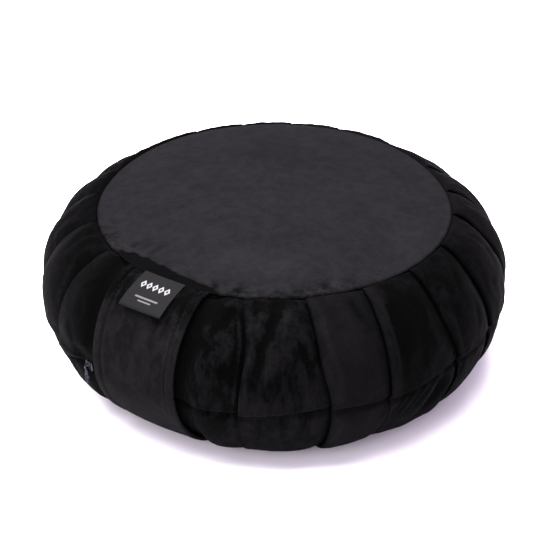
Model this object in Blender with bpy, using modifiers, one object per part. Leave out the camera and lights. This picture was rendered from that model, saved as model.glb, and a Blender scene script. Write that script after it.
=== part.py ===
"""A round zafu meditation cushion: a firm filled velvet cover with a knife-pleated wall, a zip seam round its
middle, a wide carry strap sewn down one side and a small woven label.

Metres, +Z up. The origin is the middle of the base, on the floor. The front is -Y. Azimuth is the angle in
degrees round from the front, counted towards +X. The wall is followed from the top seam to the base seam by
a place that runs from 0 to 2: 0 is the top seam, 1 the widest ring and 2 the base seam.
"""
import functools
import math
from collections import namedtuple

import bmesh
import bpy
from mathutils import Matrix, Vector

# The filled cushion
OUTER_RADIUS = 0.180
WIDEST_HEIGHT = 0.0745
TOP_SEAM_RADIUS = 0.1366
TOP_SEAM_HEIGHT = 0.1325
CROWN_RISE = 0.012
BASE_SEAM_RADIUS = 0.1235
SHOULDER_LEVEL = 0.36
SHOULDER_UPRIGHT = 0.52
FOOT_UPRIGHT = 0.60
FOOT_LEVEL = 0.48

# Cloth and seams
CLOTH = 0.0025
APART = 0.0003
SEAM_DIP = 0.0010
SEAM_DIP_SHARE = 0.06
PANEL_SUNK = 0.0006
PANEL_RIM = 0.0009
ZIP_GROOVE = 0.0026
ZIP_LIP_SHARE_UPPER = 0.05
ZIP_LIP_SHARE_LOWER = 0.09
WALL_OFF_FLOOR = 0.00125
STRAP_OFF_FLOOR = 0.0005

# Pleats: how far a folded edge stands out, and how far the cloth puffs between two folds
FOLD_STAND = ((0.0, 0.0006), (0.12, 0.0017), (0.7, 0.0016), (1.3, 0.0012), (1.8, 0.0009), (2.0, 0.0002))
PUFF = (
    (0.0, 0.0006), (0.15, 0.0023), (0.45, 0.0046), (0.8, 0.0030), (1.15, 0.0010), (1.5, 0.0016), (2.0, 0.0),
)
PUFF_MIDDLE = 0.74

# Each pleat's fold line, as azimuths on its way down, the height of the zip seam where it crosses that line,
# and how strongly the pleat stands
Pleat = namedtuple("Pleat", "top shoulder zip_seam base zip_height strength")
PLEATS = (
    Pleat(-8.8, -6.7, -8.1, -8.6, 0.0585, 1.00),
    Pleat(9.4, 11.0, 13.4, 12.9, 0.0625, 1.25),
    Pleat(27.3, 27.8, 28.0, 28.0, 0.0605, 0.90),
    Pleat(45.3, 45.9, 49.1, 48.5, 0.0675, 1.00),
    Pleat(64.2, 63.8, 65.0, 65.5, 0.0680, 0.90),
    Pleat(85.0, 84.8, 86.2, 86.0, 0.0665, 1.10),
    Pleat(101.0, 100.0, 98.5, 99.0, 0.0650, 1.00),
    Pleat(118.0, 117.0, 116.0, 116.0, 0.0660, 0.90),
    Pleat(139.0, 138.0, 137.0, 137.0, 0.0640, 1.05),
    Pleat(158.0, 157.5, 157.0, 156.0, 0.0655, 0.95),
    Pleat(174.5, 174.5, 175.5, 175.0, 0.0645, 1.05),
    Pleat(191.5, 192.0, 193.0, 192.0, 0.0635, 1.00),
    Pleat(208.0, 209.0, 210.0, 210.0, 0.0650, 0.90),
    Pleat(227.0, 227.5, 228.0, 228.0, 0.0630, 1.10),
    Pleat(246.0, 245.5, 246.0, 246.0, 0.0625, 1.00),
    Pleat(262.8, 261.3, 262.0, 263.0, 0.0600, 1.10),
    Pleat(281.7, 278.3, 275.5, 277.0, 0.0590, 1.15),
    Pleat(300.2, 296.8, 297.0, 299.0, 0.0565, 1.00),
    Pleat(318.0, 318.0, 318.0, 318.0, 0.0600, 0.70),
    Pleat(335.0, 335.0, 335.0, 335.0, 0.0615, 0.70),
)
ZIP_MIDDLE = 0.0625
ZIP_PLACE = 1.15
PLEAT_PLACES = (0.0, 0.6, ZIP_PLACE, 2.0)

# One pleat from its fold line to the next: the folded edge laps over the cloth to its left
Section = namedtuple("Section", "across fold puff")
PLEAT_SECTION = (
    Section(0.00, -1.00, 0.00),
    Section(0.03, 0.60, 0.10),
    Section(0.10, 1.00, 0.35),
    Section(0.22, 0.75, 0.70),
    Section(0.38, 0.45, 0.95),
    Section(0.54, 0.20, 1.00),
    Section(0.70, 0.00, 0.84),
    Section(0.84, -0.20, 0.56),
    Section(0.95, -0.55, 0.24),
)

# Soft folds pressed into the wall, each from one azimuth and height to another
Trough = namedtuple("Trough", "azimuth_1 height_1 azimuth_2 height_2 depth half_width")
TROUGHS = (
    Trough(1.5, 0.132, -3.5, 0.100, 0.0016, 0.0050),
    Trough(-3.5, 0.100, -5.0, 0.070, 0.0016, 0.0045),
    Trough(8.0, 0.110, 9.0, 0.092, 0.0012, 0.0040),
    Trough(22.0, 0.131, 26.0, 0.118, 0.0016, 0.0050),
    Trough(34.5, 0.131, 40.0, 0.080, 0.0016, 0.0055),
    Trough(52.0, 0.104, 47.0, 0.075, 0.0014, 0.0050),
    Trough(70.0, 0.129, 74.0, 0.112, 0.0014, 0.0055),
    Trough(47.0, 0.062, 40.5, 0.030, 0.0034, 0.0075),
    Trough(37.5, 0.060, 33.0, 0.040, 0.0012, 0.0045),
    Trough(60.0, 0.062, 57.0, 0.030, 0.0016, 0.0060),
    Trough(-72.0, 0.125, -70.0, 0.090, 0.0014, 0.0055),
    Trough(-56.0, 0.128, -55.0, 0.080, 0.0014, 0.0060),
    Trough(150.0, 0.130, 148.0, 0.095, 0.0014, 0.0055),
    Trough(202.0, 0.130, 199.0, 0.100, 0.0014, 0.0055),
    Trough(237.0, 0.056, 243.0, 0.034, 0.0014, 0.0050),
    Trough(108.0, 0.058, 104.0, 0.036, 0.0014, 0.0050),
)

# Rings of points down the upper and the lower band, as shares of the band
UPPER_ROWS = (0.0, 0.03, 0.08, 0.17, 0.28, 0.42, 0.56, 0.70, 0.83, 0.93, 0.975, 1.0)
LOWER_ROWS = (0.0, 0.05, 0.14, 0.28, 0.44, 0.60, 0.76, 0.90, 1.0)
PANEL_RINGS = (0.0, 0.32, 0.60, 0.82, 1.0)
PANEL_COLUMNS = 80

# Carry strap
STRAP_AZIMUTH = -34.75
STRAP_WIDTH = 0.072
STRAP_CLOTH = 0.0026
STRAP_CLEAR = 0.0010
STRAP_EDGE_LIFT = 0.0014
STRAP_HEM = 0.0095
STRAP_HEM_RISE = 0.0005
STRAP_HEM_STEP = 0.0020
STRAP_FREE_BELOW_TOP = 0.3
STRAP_HELD_FROM = 1.5
STRAP_HELD_FADE = 0.4
STRAP_PRESS_PAST = 0.0066
STRAP_PRESS_FADE = 0.0080
STRAP_START = 0.022
STRAP_END = 1.984
STRAP_ACROSS = (-1.0, -0.9, -0.75, -0.7, -0.4, 0.0, 0.4, 0.7, 0.75, 0.9, 1.0)
STRAP_ROWS = 40

# How far the strap presses the wall in on its way down, so that it lies level with the cloth beside it
STRAP_SINK = ((0.0, 0.0036), (0.35, 0.0024), (1.0, 0.0030), (1.5, 0.0062), (1.8, 0.0060), (2.0, 0.0038))

# Woven label, its top edge in the top seam
LABEL_WIDTH = 0.036
LABEL_LENGTH = 0.030
LABEL_THICK = 0.0010
LABEL_LIFT = 0.0016
LABEL_START = 0.012
LABEL_GRID = 6

# Zip slider and its pull, on the zip seam beside the strap
SLIDER_AZIMUTH = -50.6
POCKET_DEPTH = 0.0048
POCKET_AROUND = 4.5
POCKET_UP = 0.012
SLIDER_LONG = 0.0085
SLIDER_TALL = 0.0068
SLIDER_THICK = 0.0032
SLIDER_ROUND = 0.0008
SLIDER_BED = 0.0009
BRIDGE_WIRE = 0.0006
BRIDGE_REACH = 0.0030
BRIDGE_HALF = 0.0018
BRIDGE_BEND = 0.0008
BRIDGE_SUNK = 0.0008
PULL_LONG = 0.0150
PULL_WIDE = 0.0062
PULL_NECK = 0.0042
PULL_THICK = 0.0010
PULL_HOLE = 0.0013
PULL_HOLE_SIDES = 14
PULL_SLACK = 0.0004
PULL_SIDES = 20


def ease(share):
    share = min(max(share, 0.0), 1.0)
    return share * share * (3 - 2 * share)


def eased(rows, place):
    """The value at a place along rows of (place, value), easing from one row to the next."""
    for (near, low), (far, high) in zip(rows, rows[1:]):
        if place <= far:
            return low + (high - low) * ease((place - near) / (far - near))
    return rows[-1][1]


def linear(rows, place):
    """The value at a place along rows of (place, value), on straight lines from row to row."""
    for (near, low), (far, high) in zip(rows, rows[1:]):
        if place <= far:
            return low + (high - low) * (place - near) / (far - near)
    return rows[-1][1]


def cubic(points, share):
    rest = 1 - share
    weights = (rest ** 3, 3 * rest ** 2 * share, 3 * rest * share ** 2, share ** 3)
    return sum((point * weight for point, weight in zip(points, weights)), Vector((0, 0)))


def cubic_slope(points, share):
    rest = 1 - share
    weights = (rest ** 2, 2 * rest * share, share ** 2)
    steps = [after - before for before, after in zip(points, points[1:])]
    return sum((step * weight for step, weight in zip(steps, weights)), Vector((0, 0)))


SHOULDER_OUT = OUTER_RADIUS - TOP_SEAM_RADIUS
SHOULDER_DROP = TOP_SEAM_HEIGHT - WIDEST_HEIGHT
FOOT_OUT = OUTER_RADIUS - BASE_SEAM_RADIUS
UPPER_CURVE = (
    Vector((TOP_SEAM_RADIUS, TOP_SEAM_HEIGHT)),
    Vector((TOP_SEAM_RADIUS + SHOULDER_LEVEL * SHOULDER_OUT, TOP_SEAM_HEIGHT)),
    Vector((OUTER_RADIUS, WIDEST_HEIGHT + SHOULDER_UPRIGHT * SHOULDER_DROP)),
    Vector((OUTER_RADIUS, WIDEST_HEIGHT)),
)
LOWER_CURVE = (
    Vector((OUTER_RADIUS, WIDEST_HEIGHT)),
    Vector((OUTER_RADIUS, WIDEST_HEIGHT * (1 - FOOT_UPRIGHT))),
    Vector((BASE_SEAM_RADIUS + FOOT_LEVEL * FOOT_OUT, 0)),
    Vector((BASE_SEAM_RADIUS, 0)),
)


def profile(place):
    """Radius and height of the plain wall, and its outward direction in the same two axes."""
    curve, share = (UPPER_CURVE, place) if place < 1 else (LOWER_CURVE, place - 1)
    slope = cubic_slope(curve, share).normalized()
    return cubic(curve, share), Vector((-slope.y, slope.x))


def place_at_height(height):
    """The place down the wall where the plain wall has this height."""
    low, high = 0.0, 2.0
    for _ in range(30):
        middle = (low + high) / 2
        if profile(middle)[0].y > height:
            low = middle
        else:
            high = middle
    return low


def zip_height(number, across):
    """Height of the zip seam at a share of the way across a pleat."""
    here = PLEATS[number % len(PLEATS)].zip_height
    after = PLEATS[(number + 1) % len(PLEATS)].zip_height
    return here + (after - here) * ease(across)


@functools.cache
def zip_place(number, across):
    return place_at_height(zip_height(number, across))


def fold_line(number, place):
    """Azimuth of a pleat's fold line at a place down the wall."""
    turns, index = divmod(number, len(PLEATS))
    return eased(tuple(zip(PLEAT_PLACES, PLEATS[index][:4])), place) + 360 * turns


@functools.cache
def wall_length(place):
    """How far down the cloth a place is from the top seam."""
    step = 0.05
    points = [profile(step * index)[0] for index in range(int(place / step) + 1)] + [profile(place)[0]]
    return sum((after - before).length for before, after in zip(points, points[1:]))


def on_cloth(azimuth, place):
    """A wall point laid out flat: round the wall and down it."""
    return Vector((math.radians(azimuth) * profile(place)[0].x, wall_length(place)))


@functools.cache
def trough_ends(row):
    start = on_cloth(row.azimuth_1, place_at_height(row.height_1))
    return start, on_cloth(row.azimuth_2, place_at_height(row.height_2)) - start


def trough_depth(azimuth, place):
    """How deep the soft folds press the wall here. Each one runs out softly at its ends."""
    depth = 0.0
    for row in TROUGHS:
        turned = azimuth - 360 * round((azimuth - (row.azimuth_1 + row.azimuth_2) / 2) / 360)
        if abs(turned - (row.azimuth_1 + row.azimuth_2) / 2) > 20:
            continue
        start, along = trough_ends(row)
        from_start = on_cloth(turned, place) - start
        share = min(max(from_start.dot(along) / along.length_squared, 0.0), 1.0)
        away = (from_start - along * share).length / row.half_width
        depth += row.depth * math.exp(-away * away)
    return depth


def strap_side(azimuth, place):
    """Distance from the strap's middle line, or None round the far side of the cushion."""
    turn = math.radians(azimuth - STRAP_AZIMUTH)
    return profile(place)[0].x * math.sin(turn) if math.cos(turn) > 0 else None


def strap_press(azimuth, place):
    """1 where the strap holds the wall flat, 0 clear of it."""
    side = strap_side(azimuth, place)
    if side is None:
        return 0.0
    return 1 - ease((abs(side) - STRAP_WIDTH / 2 - STRAP_PRESS_PAST) / STRAP_PRESS_FADE)


def slider_pocket(azimuth, height):
    """The wall dips beside the strap, where the zip slider lies in its seam."""
    turned = azimuth - 360 * round((azimuth - SLIDER_AZIMUTH) / 360)
    around = (turned - SLIDER_AZIMUTH) / POCKET_AROUND
    up = (height - slider_height()) / POCKET_UP
    return POCKET_DEPTH * math.exp(-around * around - up * up)


def wall_point(number, across, fold, puff, place, band_share, upper):
    """A point of the wall: pleat number, share across the pleat, its section values, place down the wall."""
    near = fold_line(number, place)
    azimuth = near + across * (fold_line(number + 1, place) - near)
    strength = PLEATS[number % len(PLEATS)].strength
    free = eased(FOLD_STAND, place) * fold * strength + eased(PUFF, place) * (puff - PUFF_MIDDLE)
    free -= trough_depth(azimuth, place)
    press = strap_press(azimuth, place)
    relief = free * (1 - press) - eased(STRAP_SINK, place) * press
    from_zip = (1 - band_share) / ZIP_LIP_SHARE_UPPER if upper else band_share / ZIP_LIP_SHARE_LOWER
    relief -= ZIP_GROOVE * (1 - ease(from_zip))
    if upper:
        relief -= SEAM_DIP * (1 - ease(band_share / SEAM_DIP_SHARE))
    middle, outward = profile(place)
    relief -= slider_pocket(azimuth, middle.y) * (1 - press)
    point = middle + outward * relief
    return azimuth, point.x, max(point.y, WALL_OFF_FLOOR)


def at(azimuth, radius, height):
    turn = math.radians(azimuth)
    return Vector((radius * math.sin(turn), -radius * math.cos(turn), height))


def finish(name, mesh, material):
    """A named, smooth-shaded object with its own material, in the cushion's collection."""
    mesh.name = name
    mesh.materials.append(material)
    mesh.shade_smooth()
    mesh.set_sharp_from_angle(angle=math.radians(50))
    piece = bpy.data.objects.new(name, mesh)
    collection.objects.link(piece)
    return piece


def closed_mesh(shape):
    """A mesh of a bmesh whose meeting points are merged and whose faces point out."""
    bmesh.ops.remove_doubles(shape, verts=shape.verts, dist=1e-6)
    bmesh.ops.dissolve_degenerate(shape, edges=shape.edges, dist=1e-7)
    bmesh.ops.recalc_face_normals(shape, faces=shape.faces)
    mesh = bpy.data.meshes.new("shape")
    shape.to_mesh(mesh)
    shape.free()
    return mesh


def strip(columns, rows, set_point):
    """A flat strip of cloth with this many steps each way, every point of it then set in place."""
    shape = bmesh.new()
    bmesh.ops.create_grid(shape, x_segments=columns, y_segments=rows, size=0.5)
    for point in shape.verts:
        column = round((point.co.x + 0.5) * columns)
        row = round((0.5 - point.co.y) * rows)
        point.co = set_point(column, row)
    return shape


def velvet(name, tone):
    return plain_material(name, tone, 0.85, 0.0)


def plain_material(name, tone, roughness, metallic):
    material = bpy.data.materials.new(name)
    material.use_nodes = True
    shader = material.node_tree.nodes["Principled BSDF"]
    shader.inputs["Base Color"].default_value = (*tone, 1.0)
    shader.inputs["Roughness"].default_value = roughness
    shader.inputs["Metallic"].default_value = metallic
    return material


def crown_height(radius):
    return TOP_SEAM_HEIGHT + CROWN_RISE * (1 - (radius / TOP_SEAM_RADIUS) ** 2)


def make_wall_band(name, upper, material):
    """One filled band of the pleated wall, from the top seam or the base seam to the zip seam.

    The strip's rows run from the middle of its upper face, out over the face, down the cloth and back to
    the middle of its lower face, so the band is solid right through.
    """
    rows = UPPER_ROWS if upper else LOWER_ROWS
    steps = len(PLEAT_SECTION)
    lip = CLOTH + APART
    half_gap = APART / 2

    def set_point(column, row):
        number, step = divmod(column, steps)
        section = PLEAT_SECTION[step]
        if upper and row < len(PANEL_RINGS):
            near = fold_line(number, 0.0)
            azimuth = near + section.across * (fold_line(number + 1, 0.0) - near)
            radius = PANEL_RINGS[row] * (TOP_SEAM_RADIUS + half_gap)
            return at(azimuth, radius, crown_height(min(radius, TOP_SEAM_RADIUS)) - PANEL_SUNK - lip)
        if not upper and row == 0:
            return Vector((0, 0, ZIP_MIDDLE - half_gap))
        cloth_row = row - (len(PANEL_RINGS) if upper else 1)
        if cloth_row < len(rows):
            return cloth_point(number, section, rows[cloth_row])
        if upper:
            return Vector((0, 0, ZIP_MIDDLE + half_gap))
        if cloth_row == len(rows):
            azimuth, radius, _ = cloth_parts(number, section, 1.0)
            return at(azimuth, radius + half_gap, lip)
        return Vector((0, 0, lip))

    def cloth_parts(number, section, band_share):
        seam = zip_place(number, section.across)
        place = band_share * seam if upper else seam + band_share * (2 - seam)
        return wall_point(number, section.across, section.fold, section.puff, place, band_share, upper)

    def cloth_point(number, section, band_share):
        azimuth, radius, height = cloth_parts(number, section, band_share)
        at_zip = band_share == (1.0 if upper else 0.0)
        if at_zip:
            height += half_gap if upper else -half_gap
        return at(azimuth, radius, height)

    row_count = len(rows) + (len(PANEL_RINGS) if upper else 2)
    shape = strip(len(PLEATS) * steps, row_count, set_point)
    return finish(name, closed_mesh(shape), material)


def make_round_panel(name, seam_radius, shares, top_height, material):
    """A round sewn panel of one cloth thickness, its top face following a height, its rim softly rounded."""
    radius = seam_radius - APART
    rings = [radius * share for share in shares[:-1]] + [radius - PANEL_RIM]
    outline = [(ring, top_height(ring)) for ring in rings]
    outline.append((radius, top_height(radius) - PANEL_RIM))
    outline.append((radius, top_height(radius) - CLOTH + PANEL_RIM))
    outline += [(ring, top_height(ring) - CLOTH) for ring in reversed(rings)]

    def set_point(column, row):
        ring, height = outline[row]
        return at(360 * column / PANEL_COLUMNS, ring, height)

    shape = strip(PANEL_COLUMNS, len(outline) - 1, set_point)
    return finish(name, closed_mesh(shape), material)


def strap_point(side_share, place, lift):
    """A point over the strap's length, its side from -1 to 1 across the width."""
    middle, outward = profile(place)
    side = side_share * STRAP_WIDTH / 2
    azimuth = STRAP_AZIMUTH + math.degrees(math.asin(side / middle.x))
    point = middle + outward * (lift - eased(STRAP_SINK, place))
    return at(azimuth, point.x, max(point.y, STRAP_OFF_FLOOR))


def strap_lift(side_share, place):
    """Height of the strap's inner face over the pressed wall: its edges stand off, its hems are thicker."""
    free = ease(place / STRAP_FREE_BELOW_TOP) * (1 - ease((place - STRAP_HELD_FROM) / STRAP_HELD_FADE))
    from_edge = (1 - abs(side_share)) * STRAP_WIDTH / 2
    hem = STRAP_HEM_RISE * (1 - ease((from_edge - STRAP_HEM) / STRAP_HEM_STEP + 0.5))
    return STRAP_CLEAR + free * (STRAP_EDGE_LIFT * side_share ** 2 + hem)


def make_strap(material):
    """The carry strap: one hemmed width of cloth, taken over the wall from the top seam to the base seam."""

    def set_point(column, row):
        place = STRAP_START + (STRAP_END - STRAP_START) * row / STRAP_ROWS
        side_share = STRAP_ACROSS[column]
        return strap_point(side_share, place, strap_lift(side_share, place) + STRAP_CLOTH / 2)

    shape = strip(len(STRAP_ACROSS) - 1, STRAP_ROWS, set_point)
    return thick_sheet("carry_strap", shape, STRAP_CLOTH, material)


def thick_sheet(name, shape, thickness, material):
    """A sheet given its thickness evenly on both sides of its middle surface."""
    bmesh.ops.recalc_face_normals(shape, faces=shape.faces)
    mesh = bpy.data.meshes.new(name)
    shape.to_mesh(mesh)
    shape.free()
    piece = finish(name, mesh, material)
    thicken = piece.modifiers.new("cloth", "SOLIDIFY")
    thicken.thickness = thickness
    thicken.offset = 0
    return piece


def make_label(material):
    """The woven label: sewn into the top seam over the strap, its lower edge standing a little off it."""

    def set_point(column, row):
        down = row / LABEL_GRID
        place = LABEL_START + down * label_reach
        side_share = (column / LABEL_GRID * 2 - 1) * LABEL_WIDTH / STRAP_WIDTH
        over_strap = STRAP_CLEAR + STRAP_CLOTH + APART + LABEL_THICK / 2
        return strap_point(side_share, place, over_strap + LABEL_LIFT * ease(down))

    label_reach = 0.0
    while wall_length(LABEL_START + label_reach) < wall_length(LABEL_START) + LABEL_LENGTH:
        label_reach += 0.005
    shape = strip(LABEL_GRID, LABEL_GRID, set_point)
    return thick_sheet("label", shape, LABEL_THICK, material)


@functools.cache
def slider_height():
    """The zip seam's height where the slider lies: in the pleat whose two fold lines stand on either side."""
    around = SLIDER_AZIMUTH % 360
    number = max(index for index in range(len(PLEATS)) if fold_line(index, ZIP_PLACE) <= around)
    near = fold_line(number, ZIP_PLACE)
    return zip_height(number, (around - near) / (fold_line(number + 1, ZIP_PLACE) - near))


def wall_reach(azimuth, height):
    """How far out the pleated wall stands at an azimuth and height."""
    around = azimuth % 360
    place = place_at_height(height)
    number = max(index for index in range(len(PLEATS)) if fold_line(index, place) <= around)
    near = fold_line(number, place)
    across = (around - near) / (fold_line(number + 1, place) - near)
    fold = linear([(row.across, row.fold) for row in PLEAT_SECTION], across)
    puff = linear([(row.across, row.puff) for row in PLEAT_SECTION], across)
    seam = zip_place(number, across)
    upper = place < seam
    share = place / seam if upper else (place - seam) / (2 - seam)
    return wall_point(number, across, fold, puff, place, share, upper)[1]


def slider_frame():
    """The slider's own axes at its seat in the pocket: out of the wall, along the seam and up."""
    height = slider_height()
    reach = max(
        wall_reach(SLIDER_AZIMUTH + turn, height + rise)
        for turn in (-1.4, 0, 1.4)
        for rise in (-SLIDER_TALL / 2, SLIDER_TALL / 2)
    )
    out = at(SLIDER_AZIMUTH, 1, 0)
    seat = at(SLIDER_AZIMUTH, reach + APART - SLIDER_BED, height)
    along = Vector((0, 0, 1)).cross(out)
    axes = Matrix((out, along, Vector((0, 0, 1)))).transposed().to_4x4()
    return Matrix.Translation(seat) @ axes


def make_slider(frame, material):
    """The zip's slider: a rounded metal block with a small wire bridge on its face."""
    block = bmesh.new()
    bmesh.ops.create_cube(block, size=1)
    bmesh.ops.scale(block, vec=(SLIDER_THICK, SLIDER_LONG, SLIDER_TALL), verts=block.verts)
    bmesh.ops.translate(block, vec=(SLIDER_THICK / 2, 0, 0), verts=block.verts)
    bmesh.ops.bevel(
        block, geom=block.edges[:], offset=SLIDER_ROUND, segments=2, profile=0.5, affect="EDGES", material=-1
    )
    body = finish("zip_slider", closed_mesh(block), material)
    body.matrix_world = frame

    bridge = make_bridge(frame)
    union = body.modifiers.new("bridge", "BOOLEAN")
    union.operation = "UNION"
    union.object = bridge
    return body


def curve_shape(curve):
    """The mesh of a curve as a bmesh, its guide object removed again."""
    guide = bpy.data.objects.new("guide", curve)
    cutters.objects.link(guide)
    mesh = bpy.data.meshes.new_from_object(guide.evaluated_get(bpy.context.evaluated_depsgraph_get()))
    bpy.data.objects.remove(guide)
    shape = bmesh.new()
    shape.from_mesh(mesh)
    return shape


def make_bridge(frame):
    """A square arch of wire, upright on the slider's face: the pull hangs on its lower leg."""
    foot = SLIDER_THICK - BRIDGE_SUNK
    tip = SLIDER_THICK + BRIDGE_REACH
    upright = BRIDGE_HALF - BRIDGE_BEND
    leg_route = ((foot, 0, -BRIDGE_HALF), (tip - BRIDGE_BEND, 0, -BRIDGE_HALF), (tip, 0, -upright))
    route = leg_route + tuple((out, 0, -up) for out, _, up in reversed(leg_route))
    curve = bpy.data.curves.new("bridge", "CURVE")
    curve.dimensions = "3D"
    curve.bevel_depth = BRIDGE_WIRE
    curve.bevel_resolution = 2
    curve.use_fill_caps = True
    spline = curve.splines.new("POLY")
    spline.points.add(len(route) - 1)
    for point, place in zip(spline.points, route):
        point.co = (*place, 1)
    bridge = bpy.data.objects.new("bridge", closed_mesh(curve_shape(curve)))
    cutters.objects.link(bridge)
    bridge.matrix_world = frame
    bridge.hide_render = True
    bridge.display_type = "WIRE"
    return bridge


def make_pull(frame, material):
    """The flat drop-shaped pull, hanging on the bridge's lower leg through its hole."""
    curve = bpy.data.curves.new("zip_pull", "CURVE")
    curve.dimensions = "2D"
    curve.fill_mode = "BOTH"
    curve.extrude = PULL_THICK / 2
    outline = []
    for index in range(PULL_SIDES):
        turn = 2 * math.pi * index / PULL_SIDES
        down = (1 - math.cos(turn)) / 2
        half = (PULL_NECK + (PULL_WIDE - PULL_NECK) * ease(down)) / 2
        outline.append((half * math.sin(turn), PULL_NECK / 2 - PULL_LONG * down))
    turns = [2 * math.pi * index / PULL_HOLE_SIDES for index in range(PULL_HOLE_SIDES)]
    hole = [(PULL_HOLE * math.sin(turn), PULL_HOLE * math.cos(turn)) for turn in turns]
    for points in (outline, hole):
        spline = curve.splines.new("POLY")
        spline.points.add(len(points) - 1)
        for point, (across, up) in zip(spline.points, points):
            point.co = (across, up, 0, 1)
        spline.use_cyclic_u = True
    shape = curve_shape(curve)
    hang = BRIDGE_WIRE + PULL_SLACK - PULL_HOLE
    stand = Matrix(((0, 0, 1), (1, 0, 0), (0, 1, 0))).to_4x4()
    seat = Matrix.Translation((SLIDER_THICK + BRIDGE_REACH / 2, 0, hang - BRIDGE_HALF))
    bmesh.ops.transform(shape, matrix=frame @ seat @ stand, verts=shape.verts)
    return finish("zip_pull", closed_mesh(shape), material)


for leftover in list(bpy.data.objects):
    bpy.data.objects.remove(leftover)

collection = bpy.data.collections.new("zafu_cushion")
bpy.context.scene.collection.children.link(collection)
cutters = bpy.data.collections.new("cutters")
bpy.context.scene.collection.children.link(cutters)

make_wall_band("upper_wall", True, velvet("wall_velvet", (0.013, 0.012, 0.015)))
make_wall_band("lower_wall", False, velvet("lower_wall_velvet", (0.012, 0.011, 0.014)))
make_round_panel(
    "top_panel", TOP_SEAM_RADIUS, PANEL_RINGS, lambda radius: crown_height(radius) - PANEL_SUNK,
    velvet("top_velvet", (0.030, 0.028, 0.033)),
)
make_round_panel(
    "base_panel", BASE_SEAM_RADIUS, (0.0, 1.0), lambda radius: CLOTH,
    velvet("base_velvet", (0.012, 0.011, 0.014)),
)
make_strap(velvet("strap_velvet", (0.014, 0.013, 0.016)))
make_label(plain_material("woven_label", (0.045, 0.045, 0.050), 0.7, 0.0))
zip_seat = slider_frame()
make_slider(zip_seat, plain_material("slider_metal", (0.30, 0.30, 0.31), 0.35, 1.0))
make_pull(zip_seat, plain_material("pull_metal", (0.30, 0.30, 0.31), 0.35, 1.0))
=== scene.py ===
"""Finished looks of a round velvet meditation cushion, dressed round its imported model.

Metres, +Z up, the origin in the middle of the base and the front towards -Y. Azimuth is the angle in degrees
round from the front, counted towards +X. The wall is followed from the top seam to the base seam by a place
that runs from 0 to 2: 0 is the top seam, 1 the widest ring and 2 the base seam.
"""
import math
from collections import namedtuple

import bmesh
import bpy
import numpy as np
from mathutils import Matrix, Vector, noise


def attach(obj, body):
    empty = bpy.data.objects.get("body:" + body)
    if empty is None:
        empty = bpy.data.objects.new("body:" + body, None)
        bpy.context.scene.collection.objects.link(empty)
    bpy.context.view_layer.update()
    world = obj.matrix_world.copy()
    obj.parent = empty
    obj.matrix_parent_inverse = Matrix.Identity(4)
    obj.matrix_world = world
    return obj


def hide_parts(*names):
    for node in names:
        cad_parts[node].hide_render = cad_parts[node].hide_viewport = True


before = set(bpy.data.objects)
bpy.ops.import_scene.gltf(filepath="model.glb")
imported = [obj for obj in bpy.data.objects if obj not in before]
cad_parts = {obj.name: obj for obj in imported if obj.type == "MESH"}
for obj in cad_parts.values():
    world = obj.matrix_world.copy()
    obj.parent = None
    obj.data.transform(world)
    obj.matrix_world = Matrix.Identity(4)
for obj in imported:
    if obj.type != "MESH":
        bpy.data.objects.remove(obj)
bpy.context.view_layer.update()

# The filled cushion, as in the model
OUTER_RADIUS = 0.180
WIDEST_HEIGHT = 0.0745
TOP_SEAM_RADIUS = 0.1366
TOP_SEAM_HEIGHT = 0.1325
CROWN_RISE = 0.012
BASE_SEAM_RADIUS = 0.1235
SHOULDER_LEVEL = 0.36
SHOULDER_UPRIGHT = 0.52
FOOT_UPRIGHT = 0.60
FOOT_LEVEL = 0.48
CLOTH = 0.0025
APART = 0.0003
PANEL_SUNK = 0.0006
LIP = CLOTH + APART
WALL_OFF_FLOOR = 0.00125

# Seams: how deep and how wide the cloth rolls down into them
SEAM_DIP = 0.0019
SEAM_DIP_WIDE = 0.0034
ZIP_MIDDLE = 0.0625
ZIP_PLACE = 1.15
ZIP_GROOVE = 0.0030
ZIP_GROOVE_ABOVE = 0.0024
ZIP_GROOVE_BELOW = 0.0060
WELT_RISE = 0.0009
WELT_FROM_SEAM = 0.0030
WELT_HALF = 0.0016
WELT_LEFT = 2.0
LEFT_LIP = -65.0
LEFT_LIP_REACH = 13.0
LEFT_LIP_FADE = 5.0

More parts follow.
